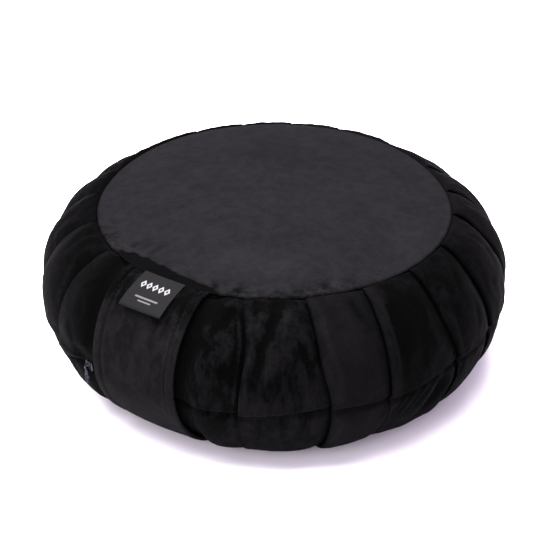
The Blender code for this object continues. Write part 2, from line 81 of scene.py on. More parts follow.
# Pleats, as in the model, with how much of each goes on below the zip seam
FOLD_STAND = ((0.0, 0.0006), (0.12, 0.0022), (0.7, 0.0023), (1.3, 0.0017), (1.8, 0.0010), (2.0, 0.0002))
PUFF = (
    (0.0, 0.0006), (0.15, 0.0023), (0.45, 0.0046), (0.8, 0.0030), (1.15, 0.0010), (1.5, 0.0016), (2.0, 0.0),
)
PUFF_MIDDLE = 0.74
TUCK = ((0.0, 1.1), (0.5, 1.0), (1.15, 0.8), (2.0, 0.6))
Pleat = namedtuple("Pleat", "top shoulder zip_seam base zip_height strength below")
PLEATS = (
    Pleat(-8.8, -6.7, -8.1, -8.6, 0.0585, 1.00, 0.25),
    Pleat(9.4, 11.0, 13.4, 12.9, 0.0625, 1.10, 1.30),
    Pleat(27.3, 27.8, 28.0, 28.0, 0.0605, 0.95, 0.12),
    Pleat(45.3, 45.9, 49.1, 48.5, 0.0675, 0.80, 0.70),
    Pleat(64.2, 63.8, 65.0, 65.5, 0.0680, 0.78, 0.70),
    Pleat(85.0, 84.8, 86.2, 86.0, 0.0665, 0.74, 0.80),
    Pleat(101.0, 100.0, 98.5, 99.0, 0.0650, 0.82, 0.55),
    Pleat(118.0, 117.0, 116.0, 116.0, 0.0660, 0.90, 0.75),
    Pleat(139.0, 138.0, 137.0, 137.0, 0.0640, 1.05, 0.60),
    Pleat(158.0, 157.5, 157.0, 156.0, 0.0655, 0.95, 0.80),
    Pleat(174.5, 174.5, 175.5, 175.0, 0.0645, 1.05, 0.55),
    Pleat(191.5, 192.0, 193.0, 192.0, 0.0635, 1.00, 0.75),
    Pleat(208.0, 209.0, 210.0, 210.0, 0.0650, 0.90, 0.60),
    Pleat(227.0, 227.5, 228.0, 228.0, 0.0630, 1.10, 0.80),
    Pleat(246.0, 245.5, 246.0, 246.0, 0.0625, 1.00, 0.60),
    Pleat(262.8, 261.3, 262.0, 263.0, 0.0600, 1.10, 0.70),
    Pleat(281.7, 278.3, 275.5, 277.0, 0.0590, 1.15, 0.75),
    Pleat(300.2, 296.8, 297.0, 299.0, 0.0565, 1.00, 0.70),
    Pleat(318.0, 318.0, 318.0, 318.0, 0.0600, 0.70, 0.50),
    Pleat(335.0, 335.0, 335.0, 335.0, 0.0615, 0.70, 0.50),
)
PLEAT_PLACES = np.array((0.0, 0.6, ZIP_PLACE, 2.0))
LINES = np.array([row[:4] for row in PLEATS])
ZIP_HEIGHTS = np.array([row.zip_height for row in PLEATS])
STRENGTHS = np.array([row.strength for row in PLEATS])
BELOWS = np.array([row.below for row in PLEATS])

# One pleat from its own fold line (share 0) to the next (share 1). The cloth before the pleat runs in under
# the lap, turns and comes back out to the folded edge. Aside is the way sideways from the fold line where the
# pleat laps, and flat the same where it has run out; depth counts in how far the fold stands.
Section = namedtuple("Section", "share aside flat depth puff")
SECTION = (
    Section(0.00, 0.0042, -0.0006, -1.50, 0.00),
    Section(0.00, 0.0052, -0.0004, -1.15, 0.00),
    Section(0.00, 0.0044, -0.0002, -0.80, 0.00),
    Section(0.00, 0.0020, 0.0000, -0.62, 0.00),
    Section(0.00, 0.0000, 0.0002, -0.45, 0.01),
    Section(0.00, -0.0008, 0.0004, 0.00, 0.02),
    Section(0.00, -0.0008, 0.0006, 0.50, 0.05),
    Section(0.00, -0.0001, 0.0009, 0.88, 0.08),
    Section(0.00, 0.0011, 0.0016, 1.06, 0.14),
    Section(0.00, 0.0027, 0.0028, 1.06, 0.22),
    Section(0.10, 0.0, 0.0, 0.96, 0.36),
    Section(0.15, 0.0, 0.0, 0.86, 0.52),
    Section(0.21, 0.0, 0.0, 0.76, 0.67),
    Section(0.28, 0.0, 0.0, 0.64, 0.80),
    Section(0.36, 0.0, 0.0, 0.50, 0.92),
    Section(0.44, 0.0, 0.0, 0.36, 0.98),
    Section(0.52, 0.0, 0.0, 0.23, 1.00),
    Section(0.60, 0.0, 0.0, 0.11, 0.96),
    Section(0.68, 0.0, 0.0, 0.00, 0.87),
    Section(0.76, 0.0, 0.0, -0.12, 0.74),
    Section(0.83, 0.0, 0.0, -0.26, 0.58),
    Section(0.89, 0.0, 0.0, -0.46, 0.40),
    Section(1.00, -0.0034, -0.0034, -0.86, 0.20),
    Section(1.00, -0.0010, -0.0016, -1.30, 0.06),
)
UPPER_ROWS = (
    0.0, 0.010, 0.022, 0.038, 0.058, 0.085, 0.12, 0.155, 0.19, 0.225, 0.26, 0.295, 0.33, 0.365, 0.40, 0.435,
    0.47, 0.505, 0.54, 0.575, 0.61, 0.645, 0.68, 0.715, 0.75, 0.785, 0.82, 0.852, 0.88, 0.905, 0.928, 0.946,
    0.960, 0.971, 0.981, 0.990, 1.0,
)
LOWER_ROWS = (
    0.0, 0.012, 0.026, 0.045, 0.07, 0.10, 0.14, 0.185, 0.235, 0.29, 0.345, 0.40, 0.455, 0.51, 0.565, 0.62,
    0.68, 0.74, 0.80, 0.86, 0.91, 0.95, 0.98, 1.0,
)

# Creases (depth above 0) and ridges (below 0) pressed into the wall, in mm, along azimuths and heights in mm
Crease = namedtuple("Crease", "depth half_width path")
UPPER_CREASES = (
    Crease(0.7, 1.3, ((-11.2, 131.6), (-9.1, 112), (-9.6, 88), (-10.4, 63))),
    Crease(-0.4, 1.2, ((-10.4, 131.4), (-8.3, 112), (-8.8, 88), (-9.6, 64))),
    Crease(2.2, 4.0, ((2.2, 132), (0.4, 126), (-1.5, 117), (-3.3, 106), (-4.4, 94), (-4.7, 76))),
    Crease(1.1, 2.6, ((-4.8, 131.5), (-4.8, 124))),
    Crease(1.5, 3.0, ((6.0, 114.5), (6.8, 107.7), (7.3, 99))),
    Crease(0.9, 3.0, ((1.5, 100), (0.6, 84), (1.0, 70))),
    Crease(1.3, 3.5, ((-9.9, 131.4), (-10.7, 127.6), (-12.8, 121))),
    Crease(1.2, 4.0, ((-12.5, 110.5), (-14.6, 108))),
    Crease(1.6, 4.5, ((-9.8, 94.5), (-12.8, 90))),
    Crease(1.1, 3.5, ((-15.7, 86), (-15.7, 71))),
    Crease(-0.8, 3.0, ((-13.2, 104), (-12.9, 98))),
    Crease(1.5, 4.0, ((20.5, 131.6), (21.7, 127.9), (23.2, 116))),
    Crease(-0.8, 6.0, ((18.2, 130), (18.8, 112), (20.5, 90))),
    Crease(-1.3, 2.8, ((11.6, 99), (13.9, 84), (14.9, 66))),
    Crease(1.7, 3.4, ((33.3, 131.5), (31.9, 118.2), (31.4, 103.5), (31.2, 83), (32.3, 64))),
    Crease(1.2, 3.5, ((36.9, 107), (36.7, 95.5), (36.2, 79))),
    Crease(-1.0, 3.5, ((39.5, 128), (40.5, 110), (41.0, 84))),
    Crease(-1.2, 2.0, ((49.4, 124), (48.6, 116), (47.8, 107), (47.9, 98), (48.6, 82), (49.5, 73))),
    Crease(1.3, 3.0, ((55.9, 123.5), (54.0, 115))),
    Crease(1.0, 4.0, ((56.3, 132.3), (52.6, 129.4))),
    Crease(1.0, 4.5, ((58.0, 104), (56.0, 82))),
    Crease(-1.2, 2.8, ((-64.6, 131), (-66.6, 127.6), (-66.6, 118.3), (-65.7, 102.7), (-64.6, 80))),
    Crease(0.9, 2.6, ((-57.2, 92), (-53.8, 74))),
    Crease(0.8, 3.0, ((-54.9, 108), (-52.2, 96))),
    Crease(1.1, 3.0, ((-71.8, 132.4), (-72.6, 128.4), (-73.3, 117))),
    Crease(1.0, 4.5, ((-88.0, 131), (-89.0, 112), (-88.0, 96))),
    Crease(0.9, 3.2, ((74.5, 131), (76.0, 118), (75.0, 104))),
    Crease(0.9, 3.2, ((92.0, 130), (93.5, 112))),
)
LOWER_CREASES = (
    Crease(0.9, 3.0, ((2.2, 60), (1.5, 51))),
    Crease(0.8, 3.2, ((-3.5, 58), (-4.0, 42))),
    Crease(0.9, 3.0, ((8.0, 60), (7.0, 46))),
    Crease(-1.0, 2.4, ((15.3, 62), (15.2, 48), (14.4, 30))),
    Crease(1.0, 2.4, ((27.0, 59.5), (26.6, 50), (26.2, 42))),
    Crease(1.1, 2.0, ((31.5, 60), (30.2, 50.8), (29.0, 41))),
    Crease(1.3, 2.0, ((34.0, 61.5), (31.9, 50.7), (30.6, 40))),
    Crease(1.3, 2.0, ((37.6, 62.5), (34.4, 49.2), (32.4, 39))),
    Crease(1.4, 2.2, ((40.9, 63.5), (36.8, 49.9), (34.6, 40))),
    Crease(4.2, 5.4, ((44.6, 65), (43.4, 49.5), (40.9, 38.5), (38.6, 29))),
    Crease(-1.4, 3.4, ((48.6, 58), (47.0, 46), (44.5, 36))),
    Crease(1.6, 2.6, ((50.5, 64), (49.6, 54), (48.0, 46))),
    Crease(-1.8, 4.5, ((46.0, 36), (44.0, 27), (42.5, 20))),
    Crease(1.2, 3.4, ((59.0, 63), (57.0, 46), (55.0, 34))),
    Crease(0.9, 3.5, ((-57.5, 54), (-56.5, 40))),
    Crease(1.0, 3.5, ((-70.0, 55), (-67.5, 38))),
)

# The carry strap, as in the model
STRAP_AZIMUTH = -34.75
STRAP_WIDTH = 0.072
STRAP_CLOTH = 0.0026
STRAP_CLEAR = 0.0010
STRAP_EDGE_LIFT = 0.0014
STRAP_FREE_BELOW_TOP = 0.3
STRAP_HELD_FROM = 1.5
STRAP_HELD_FADE = 0.4
STRAP_PRESS_PAST = 0.0066
STRAP_PRESS_FADE = 0.0080
STRAP_START = 0.006
STRAP_END = 1.984
STRAP_SINK = ((0.0, 0.0036), (0.35, 0.0024), (1.0, 0.0030), (1.5, 0.0062), (1.8, 0.0060), (2.0, 0.0038))
STRAP_OFF_FLOOR = 0.0005
STRAP_ROWS = 116

# The back: how far the top seam is raised, and how much flatter the wall's puff is just outside it
RAISED_BEHIND = 0.0034
FLATTER_BEHIND = 0.0036

# Zip slider
SLIDER_AZIMUTH = -50.6
POCKET_DEPTH = 0.0048
POCKET_AROUND = 4.5
POCKET_UP = 0.012

collection = bpy.data.collections.new("zafu_cushion")
bpy.context.scene.collection.children.link(collection)


# Curves and places on the wall

def ease(share):
    share = np.clip(share, 0.0, 1.0)
    return share * share * (3 - 2 * share)


def eased(rows, place):
    """The value at a place along rows of (place, value), easing from one row to the next."""
    places, values = np.array(rows).T
    step = np.clip(np.searchsorted(places, place, side="right") - 1, 0, len(rows) - 2)
    share = (place - places[step]) / (places[step + 1] - places[step])
    return values[step] + (values[step + 1] - values[step]) * ease(share)


def bezier(ends, share):
    rest = 1 - share
    return (
        ends[0] * rest ** 3 + 3 * ends[1] * rest ** 2 * share + 3 * ends[2] * rest * share ** 2
        + ends[3] * share ** 3
    )


def bezier_slope(ends, share):
    rest = 1 - share
    first, middle, last = ends[1] - ends[0], ends[2] - ends[1], ends[3] - ends[2]
    return first * rest ** 2 + 2 * middle * rest * share + last * share ** 2


SHOULDER_OUT = OUTER_RADIUS - TOP_SEAM_RADIUS
SHOULDER_DROP = TOP_SEAM_HEIGHT - WIDEST_HEIGHT
FOOT_OUT = OUTER_RADIUS - BASE_SEAM_RADIUS
UPPER_CURVE = (
    (TOP_SEAM_RADIUS, TOP_SEAM_RADIUS + SHOULDER_LEVEL * SHOULDER_OUT, OUTER_RADIUS, OUTER_RADIUS),
    (TOP_SEAM_HEIGHT, TOP_SEAM_HEIGHT, WIDEST_HEIGHT + SHOULDER_UPRIGHT * SHOULDER_DROP, WIDEST_HEIGHT),
)
LOWER_CURVE = (
    (OUTER_RADIUS, OUTER_RADIUS, BASE_SEAM_RADIUS + FOOT_LEVEL * FOOT_OUT, BASE_SEAM_RADIUS),
    (WIDEST_HEIGHT, WIDEST_HEIGHT * (1 - FOOT_UPRIGHT), 0.0, 0.0),
)


def profile(place):
    """Radius and height of the plain wall, and its outward direction along the same two."""
    above = place < 1
    share = np.where(above, place, place - 1)
    radius, height = (
        np.where(above, bezier(upper, share), bezier(lower, share))
        for upper, lower in zip(UPPER_CURVE, LOWER_CURVE)
    )
    along, down = (
        np.where(above, bezier_slope(upper, share), bezier_slope(lower, share))
        for upper, lower in zip(UPPER_CURVE, LOWER_CURVE)
    )
    length = np.hypot(along, down)
    return radius, height, -down / length, along / length


RULER = np.linspace(0, 2, 1601)
RULER_RADIUS, RULER_HEIGHT, _, _ = profile(RULER)
RULER_LENGTH = np.concatenate(([0.0], np.cumsum(np.hypot(np.diff(RULER_RADIUS), np.diff(RULER_HEIGHT)))))
CLOTH_TOTAL = RULER_LENGTH[-1]


def place_at_height(height):
    return np.interp(height, RULER_HEIGHT[::-1], RULER[::-1])


def cloth_length(place):
    """How far down the cloth a place is from the top seam."""
    return np.interp(place, RULER, RULER_LENGTH)


def place_at_length(length):
    return np.interp(length, RULER_LENGTH, RULER)


def fold_line(number, place):
    """Azimuth of a pleat's fold line at a place down the wall."""
    turns, index = np.divmod(number, len(PLEATS))
    number, place = np.broadcast_arrays(index, place)
    step = np.clip(np.searchsorted(PLEAT_PLACES, place, side="right") - 1, 0, len(PLEAT_PLACES) - 2)
    share = ease((place - PLEAT_PLACES[step]) / (PLEAT_PLACES[step + 1] - PLEAT_PLACES[step]))
    low, high = LINES[number, step], LINES[number, step + 1]
    return low + (high - low) * share + 360.0 * turns


def zip_place(number, share):
    """Place of the zip seam between a pleat and the next."""
    here, after = ZIP_HEIGHTS[number % len(PLEATS)], ZIP_HEIGHTS[(number + 1) % len(PLEATS)]
    return place_at_height(here + (after - here) * ease(share))


def strap_press(azimuth, place):
    """1 where the strap holds the wall flat, 0 clear of it."""
    turn = np.radians(azimuth - STRAP_AZIMUTH)
    side = np.abs(profile(place)[0] * np.sin(turn))
    press = 1 - ease((side - STRAP_WIDTH / 2 - STRAP_PRESS_PAST) / STRAP_PRESS_FADE)
    return np.where(np.cos(turn) > 0, press, 0.0)


def left_lip(azimuth):
    """1 where the zip seam's lip is pulled up, to the left of the strap, 0 clear of it."""
    turned = azimuth - 360 * (azimuth > 180)
    return ease((LEFT_LIP_REACH - np.abs(turned - LEFT_LIP)) / LEFT_LIP_FADE)


def slider_pocket(azimuth, height):
    """The wall dips beside the strap, where the zip slider lies in its seam."""
    turned = azimuth - 360 * np.round((azimuth - SLIDER_AZIMUTH) / 360)
    around = (turned - SLIDER_AZIMUTH) / POCKET_AROUND
    up = (height - SLIDER_HEIGHT) / POCKET_UP
    return POCKET_DEPTH * np.exp(-around ** 2 - up ** 2)


def at(azimuth, radius, height):
    turn = np.radians(azimuth)
    return np.stack(np.broadcast_arrays(radius * np.sin(turn), -radius * np.cos(turn), height), axis=-1)


def crown_height(radius):
    return TOP_SEAM_HEIGHT + CROWN_RISE * (1 - (radius / TOP_SEAM_RADIUS) ** 2)


def crease_relief(creases, azimuth, place):
    """How far creases and ridges move the wall in or out here, each one fading out at its ends."""
    radius, down = profile(place)[0], cloth_length(place)
    relief = np.zeros_like(azimuth)
    for crease in creases:
        ends = np.array(crease.path, dtype=float)
        middle = ends[:, 0].mean()
        turned = azimuth - 360 * np.round((azimuth - middle) / 360)
        around = np.radians(turned - middle) * radius
        path_place = place_at_height(ends[:, 1] / 1000)
        path_around = np.radians(ends[:, 0] - middle) * profile(path_place)[0]
        relief -= stroke(around, down, path_around, cloth_length(path_place), crease)
    return relief


def stroke(across, along, path_across, path_along, crease):
    """A soft stroke round a path of straight legs, in metres, thinning towards the path's two ends."""
    nearest = np.full(across.shape, np.inf)
    legs = np.hypot(np.diff(path_across), np.diff(path_along))
    total, run, gone = legs.sum(), np.zeros_like(across), 0.0
    for leg, length in enumerate(legs):
        from_across, from_along = across - path_across[leg], along - path_along[leg]
        leg_across = path_across[leg + 1] - path_across[leg]
        leg_along = path_along[leg + 1] - path_along[leg]
        share = np.clip((from_across * leg_across + from_along * leg_along) / length ** 2, 0, 1)
        away = np.hypot(from_across - share * leg_across, from_along - share * leg_along)
        closer = away < nearest
        nearest = np.where(closer, away, nearest)
        run = np.where(closer, (gone + share * length) / total, run)
        gone += length
    taper = 0.3 + 0.7 * ease(run / 0.3) * ease((1 - run) / 0.3)
    return crease.depth / 1000 * taper * np.exp(-(nearest / (crease.half_width / 1000)) ** 2)


# The slider lies in the seam between these two pleats
BEFORE_SLIDER, AFTER_SLIDER = 17, 18
SLIDER_FROM, SLIDER_TO = LINES[BEFORE_SLIDER, 2], LINES[AFTER_SLIDER, 2]
SLIDER_SHARE = ease((SLIDER_AZIMUTH + 360 - SLIDER_FROM) / (SLIDER_TO - SLIDER_FROM))
SLIDER_HEIGHT = ZIP_HEIGHTS[BEFORE_SLIDER] + (
    ZIP_HEIGHTS[AFTER_SLIDER] - ZIP_HEIGHTS[BEFORE_SLIDER]
) * SLIDER_SHARE


# Making pieces

def finish(name, mesh, material, slot, *nodes):
    """A named, smooth piece that rides with the cushion and stands for nodes of the model."""
    mesh.name = name
    mesh.materials.clear()
    mesh.materials.append(material)
    mesh.shade_smooth()
    piece = bpy.data.objects.new(name, mesh)
    collection.objects.link(piece)
    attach(piece, "root")
    if nodes:
        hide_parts(*nodes)
    return piece


def strip(points, values=None):
    """A strip of cloth through rows and columns of points, with named values kept at each of them."""
    rows, columns = points.shape[0] - 1, points.shape[1] - 1
    shape = bmesh.new()
    bmesh.ops.create_grid(shape, x_segments=columns, y_segments=rows, size=0.5)
    layers = {name: shape.verts.layers.float.new(name) for name in (values or {})}
    for point in shape.verts:
        column = round((point.co.x + 0.5) * columns)
        row = round((0.5 - point.co.y) * rows)
        point.co = points[row, column]
        for name, layer in layers.items():
            point[layer] = values[name][row, column]
    return shape


def made_mesh(shape):
    mesh = bpy.data.meshes.new("shape")
    shape.to_mesh(mesh)
    shape.free()
    return mesh


def closed_mesh(shape):
    """A mesh of a bmesh whose meeting points are merged and whose faces point out."""
    bmesh.ops.remove_doubles(shape, verts=shape.verts, dist=1e-6)
    bmesh.ops.dissolve_degenerate(shape, edges=shape.edges, dist=1e-7)
    bmesh.ops.recalc_face_normals(shape, faces=shape.faces)
    return made_mesh(shape)


def sheet_mesh(points, layers, thickness):
    """A smooth closed sheet of this thickness, its middle through rows and columns of points."""
    shape = strip(points, layers)
    bmesh.ops.recalc_face_normals(shape, faces=shape.faces)
    thicken = ("SOLIDIFY", {"thickness": thickness, "offset": 0})
    return settled(made_mesh(shape), thicken, SUBDIVIDE)


def settled(mesh, *kinds):
    """The mesh with modifiers applied, each one given as its type and its settings."""
    guide = bpy.data.objects.new("guide", mesh)
    bpy.context.scene.collection.objects.link(guide)
    for kind, settings in kinds:
        modifier = guide.modifiers.new(kind, kind)
        for name, value in settings.items():
            setattr(modifier, name, value)
    made = bpy.data.meshes.new_from_object(guide.evaluated_get(bpy.context.evaluated_depsgraph_get()))
    bpy.data.objects.remove(guide)
    return made


def holes_filled(mesh):
    """The mesh with its small open rings in the middle closed."""
    shape = bmesh.new()
    shape.from_mesh(mesh)
    open_edges = [edge for edge in shape.edges if edge.is_boundary]
    bmesh.ops.holes_fill(shape, edges=open_edges, sides=0)
    bmesh.ops.recalc_face_normals(shape, faces=shape.faces)
    shape.to_mesh(mesh)
    shape.free()
    return mesh


SUBDIVIDE = ("SUBSURF", {"levels": 1, "render_levels": 1})

# The cloth simulation: its length, how far it may move the cloth, and for each band of the wall the growth
# of its cloth and the pressure of its filling
CLOTH_FRAMES = 16
CLOTH_CAP = 0.0020
UPPER_FILL = (0.020, 4.5)
LOWER_FILL = (0.008, 2.0)


def filled_out(mesh, pins, growth, pressure):
    """The mesh with its cloth simulated: its filling presses it out, and it puckers where it isn't pinned."""
    scene = bpy.context.scene
    guide = bpy.data.objects.new("guide", mesh)
    scene.collection.objects.link(guide)
    group = guide.vertex_groups.new(name="pins")
    pins = np.round(pins, 1)
    for level in np.unique(pins):
        group.add(np.flatnonzero(pins == level).tolist(), float(level), "REPLACE")
    cloth = guide.modifiers.new("cloth", "CLOTH")
    cloth.settings.quality = 5
    cloth.settings.mass = 0.3
    cloth.settings.tension_stiffness = 20
    cloth.settings.compression_stiffness = 20
    cloth.settings.bending_stiffness = 0.15
    cloth.settings.air_damping = 1
    cloth.settings.vertex_group_mass = "pins"
    cloth.settings.shrink_min = -growth
    cloth.settings.shrink_max = -growth
    cloth.settings.use_pressure = True
    cloth.settings.uniform_pressure_force = pressure
    cloth.settings.effector_weights.gravity = 0
    cloth.point_cache.frame_start, cloth.point_cache.frame_end = 1, CLOTH_FRAMES
    for frame_number in range(1, CLOTH_FRAMES + 1):
        scene.frame_set(frame_number)
    start = mesh_points(mesh)
    moved = mesh_points(guide.evaluated_get(bpy.context.evaluated_depsgraph_get()).data) - start
    scene.frame_set(1)
    far = np.linalg.norm(moved, axis=1, keepdims=True)
    bpy.data.objects.remove(guide)
    capped = CLOTH_CAP * np.tanh(far / CLOTH_CAP) / np.maximum(far, 1e-9)
    set_points(mesh, start + moved * capped)
    return mesh


def mesh_points(mesh):
    points = np.empty(len(mesh.vertices) * 3)
    mesh.vertices.foreach_get("co", points)
    return points.reshape(-1, 3)


def mesh_normals(mesh):
    normals = np.empty(len(mesh.vertices) * 3)
    mesh.vertices.foreach_get("normal", normals)
    return normals.reshape(-1, 3)


def raised_behind(points):
    """The filling stands a little fuller at the back, so the top panel's far edge hides the wall behind it."""
    points = points.copy()
    points[:, 2] += RAISED_BEHIND * ease((points[:, 1] - 0.03) / 0.10) * ease((points[:, 2] - 0.085) / 0.04)
    return points


def set_points(mesh, points):
    mesh.vertices.foreach_set("co", points.astype(np.float32).ravel())
    mesh.update()


def read_layer(mesh, name):
    values = np.empty(len(mesh.vertices))
    mesh.attributes[name].data.foreach_get("value", values)
    return values


def write_layer(mesh, name, values):
    layer = mesh.attributes.get(name) or mesh.attributes.new(name, "FLOAT", "POINT")
    layer.data.foreach_set("value", values.astype(np.float32))


def lumps(points, size, seed):
    """Smooth unevenness between about -1 and 1 over points, with lumps of this size."""
    shift = Vector((seed * 7.31, seed * 3.17, seed * 5.73))
    return np.array([noise.noise(Vector(point) / size + shift) for point in points])


# Velvet, label and metal

def node_tree(name):
    material = bpy.data.materials.new(name)
    material.use_nodes = True
    nodes, links = material.node_tree.nodes, material.node_tree.links
    return material, nodes, links, nodes["Principled BSDF"]


def add(nodes, kind, **settings):
    node = nodes.new(kind)
    for name, value in settings.items():
        setattr(node, name, value)
    return node


def cloudy(nodes, links, place, scale, detail, distortion, low, high):
    """Cloudy patches between 0 and 1, their edges as soft as low and high are far apart."""
    cloud = add(nodes, "ShaderNodeTexNoise")
    cloud.inputs["Scale"].default_value = scale
    cloud.inputs["Detail"].default_value = detail
    cloud.inputs["Distortion"].default_value = distortion
    links.new(place, cloud.inputs["Vector"])
    spread = add(nodes, "ShaderNodeMapRange", interpolation_type="SMOOTHSTEP")
    spread.inputs["From Min"].default_value = low
    spread.inputs["From Max"].default_value = high
    links.new(cloud.outputs["Fac"], spread.inputs["Value"])
    return spread.outputs["Result"]


def sum_up(nodes, links, start, parts):
    """start plus each part times its weight."""
    total = None
    for value, weight in parts:
        node = add(nodes, "ShaderNodeMath", operation="MULTIPLY_ADD")
        links.new(value, node.inputs[0])
        node.inputs[1].default_value = weight
        if total is None:
            node.inputs[2].default_value = start
        else:
            links.new(total, node.inputs[2])
        total = node.outputs[0]
    return total


def two_tone(nodes, links, tone, dark, light):
    """Colour that runs from a dark one where the tone is 0 to a light one where it is 1."""
    colour = add(nodes, "ShaderNodeMix", data_type="RGBA")
    colour.inputs["A"].default_value = (*dark, 1)
    colour.inputs["B"].default_value = (*light, 1)
    links.new(tone, colour.inputs["Factor"])
    return colour.outputs["Result"]


def velvet(name, dark, light, sheen, middle, streak=1.0):
    """Velvet whose pile lies one way and another in soft patches, which read lighter and darker.

    The piece's lie value moves its tone up or down from the middle: partly where its pile lies one way and
    another, partly painted shade in creases, seams and recesses and painted highlights on ridges and edges.
    Its crush says how strong the patches are.
    A streak below 1 draws them out down the cloth.
    """
    material, nodes, links, shader = node_tree(name)
    place = add(nodes, "ShaderNodeTexCoord").outputs["Object"]
    lie_and_painted_shading = add(nodes, "ShaderNodeAttribute", attribute_name="lie_and_painted_shading").outputs["Fac"]
    crush = add(nodes, "ShaderNodeAttribute", attribute_name="crush").outputs["Fac"]
    stretch = add(nodes, "ShaderNodeMapping")
    stretch.inputs["Scale"].default_value = (1.0, 1.0, streak)
    links.new(place, stretch.inputs["Vector"])
    brushed = stretch.outputs["Vector"]
    broad = cloudy(nodes, links, brushed, 38, 1.0, 0.0, 0.30, 0.70)
    patches = cloudy(nodes, links, brushed, 125, 2.5, 0.2, 0.34, 0.68)
    fine = cloudy(nodes, links, brushed, 420, 2.0, 0.0, 0.32, 0.68)
    pile = cloudy(nodes, links, place, 1900, 1.0, 0.0, 0.25, 0.75)
    mottle = add(nodes, "ShaderNodeMath", operation="MULTIPLY")
    clouds = sum_up(nodes, links, -0.53, ((broad, 0.30), (patches, 0.50), (fine, 0.26)))
    links.new(clouds, mottle.inputs[0])
    links.new(crush, mottle.inputs[1])
    tone = sum_up(nodes, links, middle - 0.10, ((lie_and_painted_shading, 1.0), (mottle.outputs[0], 1.0), (pile, 0.20)))
    spread = add(nodes, "ShaderNodeMapRange")
    spread.inputs["From Max"].default_value = 2.0
    links.new(tone, spread.inputs["Value"])
    lightest = [2 * level for level in light]
    colour = two_tone(nodes, links, spread.outputs["Result"], dark, lightest)
    links.new(colour, shader.inputs["Base Color"])
    shader.inputs["Roughness"].default_value = 0.9
    shader.inputs["Specular IOR Level"].default_value = 0.02
    shader.inputs["Sheen Weight"].default_value = sheen
    shader.inputs["Sheen Roughness"].default_value = 0.35
    shader.inputs["Sheen Tint"].default_value = (0.92, 0.88, 1.0, 1)
    relief = add(nodes, "ShaderNodeBump")
    relief.inputs["Strength"].default_value = 0.4
    relief.inputs["Distance"].default_value = 0.0008
    links.new(mottle.outputs[0], relief.inputs["Height"])
    nap = add(nodes, "ShaderNodeBump")
    nap.inputs["Strength"].default_value = 0.6
    nap.inputs["Distance"].default_value = 0.0004
    links.new(sum_up(nodes, links, 0.0, ((fine, 0.5), (pile, 0.6))), nap.inputs["Height"])
    links.new(relief.outputs["Normal"], nap.inputs["Normal"])
    links.new(nap.outputs["Normal"], shader.inputs["Normal"])
    return material


# Painted light: one black velvet, given a lighter colour and more sheen on the top panel, which faces the
# lamps, a darker one on the wall and one in between on the strap, standing in for how much light each catches
TOP_VELVET = velvet(
    "top_velvet", dark=(0.0003, 0.0003, 0.0003), light=(0.0065, 0.0063, 0.0069), sheen=0.005, middle=0.72,
)
WALL_VELVET = velvet(
    "wall_velvet", dark=(0.0001, 0.0001, 0.0001), light=(0.0031, 0.0029, 0.0032), sheen=0.0010, middle=0.42,
    streak=0.34,
)
STRAP_VELVET = velvet(
    "strap_velvet", dark=(0.0002, 0.0002, 0.0002), light=(0.0046, 0.0044, 0.0048), sheen=0.0030, middle=0.55,
    streak=0.5,
)


# The pleated wall

def section_columns():
    """The columns of all the pleats: pleat number and section values, the first one again at the end."""
    rows = [(number, *row) for number in range(len(PLEATS)) for row in SECTION]
    rows.append((len(PLEATS), *SECTION[0]))
    return np.array(rows).T[:, None, :]


# Where the cloth simulation may move a pleat, as shares of it, and how far from a seam it is still held
FREE_FROM = 0.08
FREE_TO = 0.84
FREE_FADE = 0.10
HELD_AT_SEAM = 0.0015
HELD_FADE = 0.0040


def cloth_points(band, upper):
    """One band of the wall, for a column of shares down it: azimuth, radius, height and place of each point,
    how far it stands on a fold, its way from the zip seam, and how firmly it is held."""
    number, share, aside, flat, depth, puff = section_columns()
    number = number.astype(int)
    band = np.array(band)[:, None]
    seam = zip_place(number, share)
    place = band * seam if upper else seam + band * (2 - seam)
    near, far = fold_line(number, place), fold_line(number + 1, place)
    radius, height, out_radius, out_height = profile(place)
    azimuth = near + share * (far - near)

    after = (number + 1) % len(PLEATS)
    number = number % len(PLEATS)
    towards = ease((share - 0.6) / 0.35)
    strength = STRENGTHS[number] + (STRENGTHS[after] - STRENGTHS[number]) * towards
    below = BELOWS[number] + (BELOWS[after] - BELOWS[number]) * towards
    strength = strength * (1 + (below - 1) * ease((place - ZIP_PLACE + 0.05) / 0.12))
    press = strap_press(azimuth, place)
    lap = np.clip(strength, 0, 1) * (1 - press)
    sideways = (flat + (aside - flat) * lap) * eased(TUCK, place)
    azimuth = azimuth + np.degrees(sideways / radius)

    behind = ease((-np.cos(np.radians(azimuth)) - 0.1) / 0.7) * (1 - ease((place - 0.3) / 0.5))
    free = eased(FOLD_STAND, place) * depth * strength + eased(PUFF, place) * (puff - PUFF_MIDDLE)
    free = free * (1 - 0.75 * behind) - FLATTER_BEHIND * behind * ease(place / 0.25)
    relief = free * (1 - press) - eased(STRAP_SINK, place) * press
    from_zip = np.abs(cloth_length(place) - cloth_length(seam))
    from_top = cloth_length(place)
    relief = relief - ZIP_GROOVE * (1 - ease(from_zip / (ZIP_GROOVE_ABOVE if upper else ZIP_GROOVE_BELOW)))
    if upper:
        relief = relief - SEAM_DIP * (1 - ease(from_top / SEAM_DIP_WIDE))
        welt = WELT_RISE * (1 + WELT_LEFT * left_lip(azimuth))
        relief = relief + welt * (1 - press) * np.exp(-((from_zip - WELT_FROM_SEAM) / WELT_HALF) ** 2)
    relief = relief - slider_pocket(azimuth, height) * (1 - press)
    reach, rise = radius + out_radius * relief, height + out_height * relief
    stand = depth * strength * (1 - press) * ease(from_top / 0.006)
    held = 1 - ease((share - FREE_FROM) / FREE_FADE) * (1 - ease((share - FREE_TO) / FREE_FADE))
    from_seams = np.minimum(np.minimum(from_top, from_zip), (CLOTH_TOTAL - from_top) / 2)
    held = np.maximum(np.maximum(held, press), 1 - ease((from_seams - HELD_AT_SEAM) / HELD_FADE))
    return azimuth, reach, np.maximum(rise, WALL_OFF_FLOOR), place, stand, from_zip, held


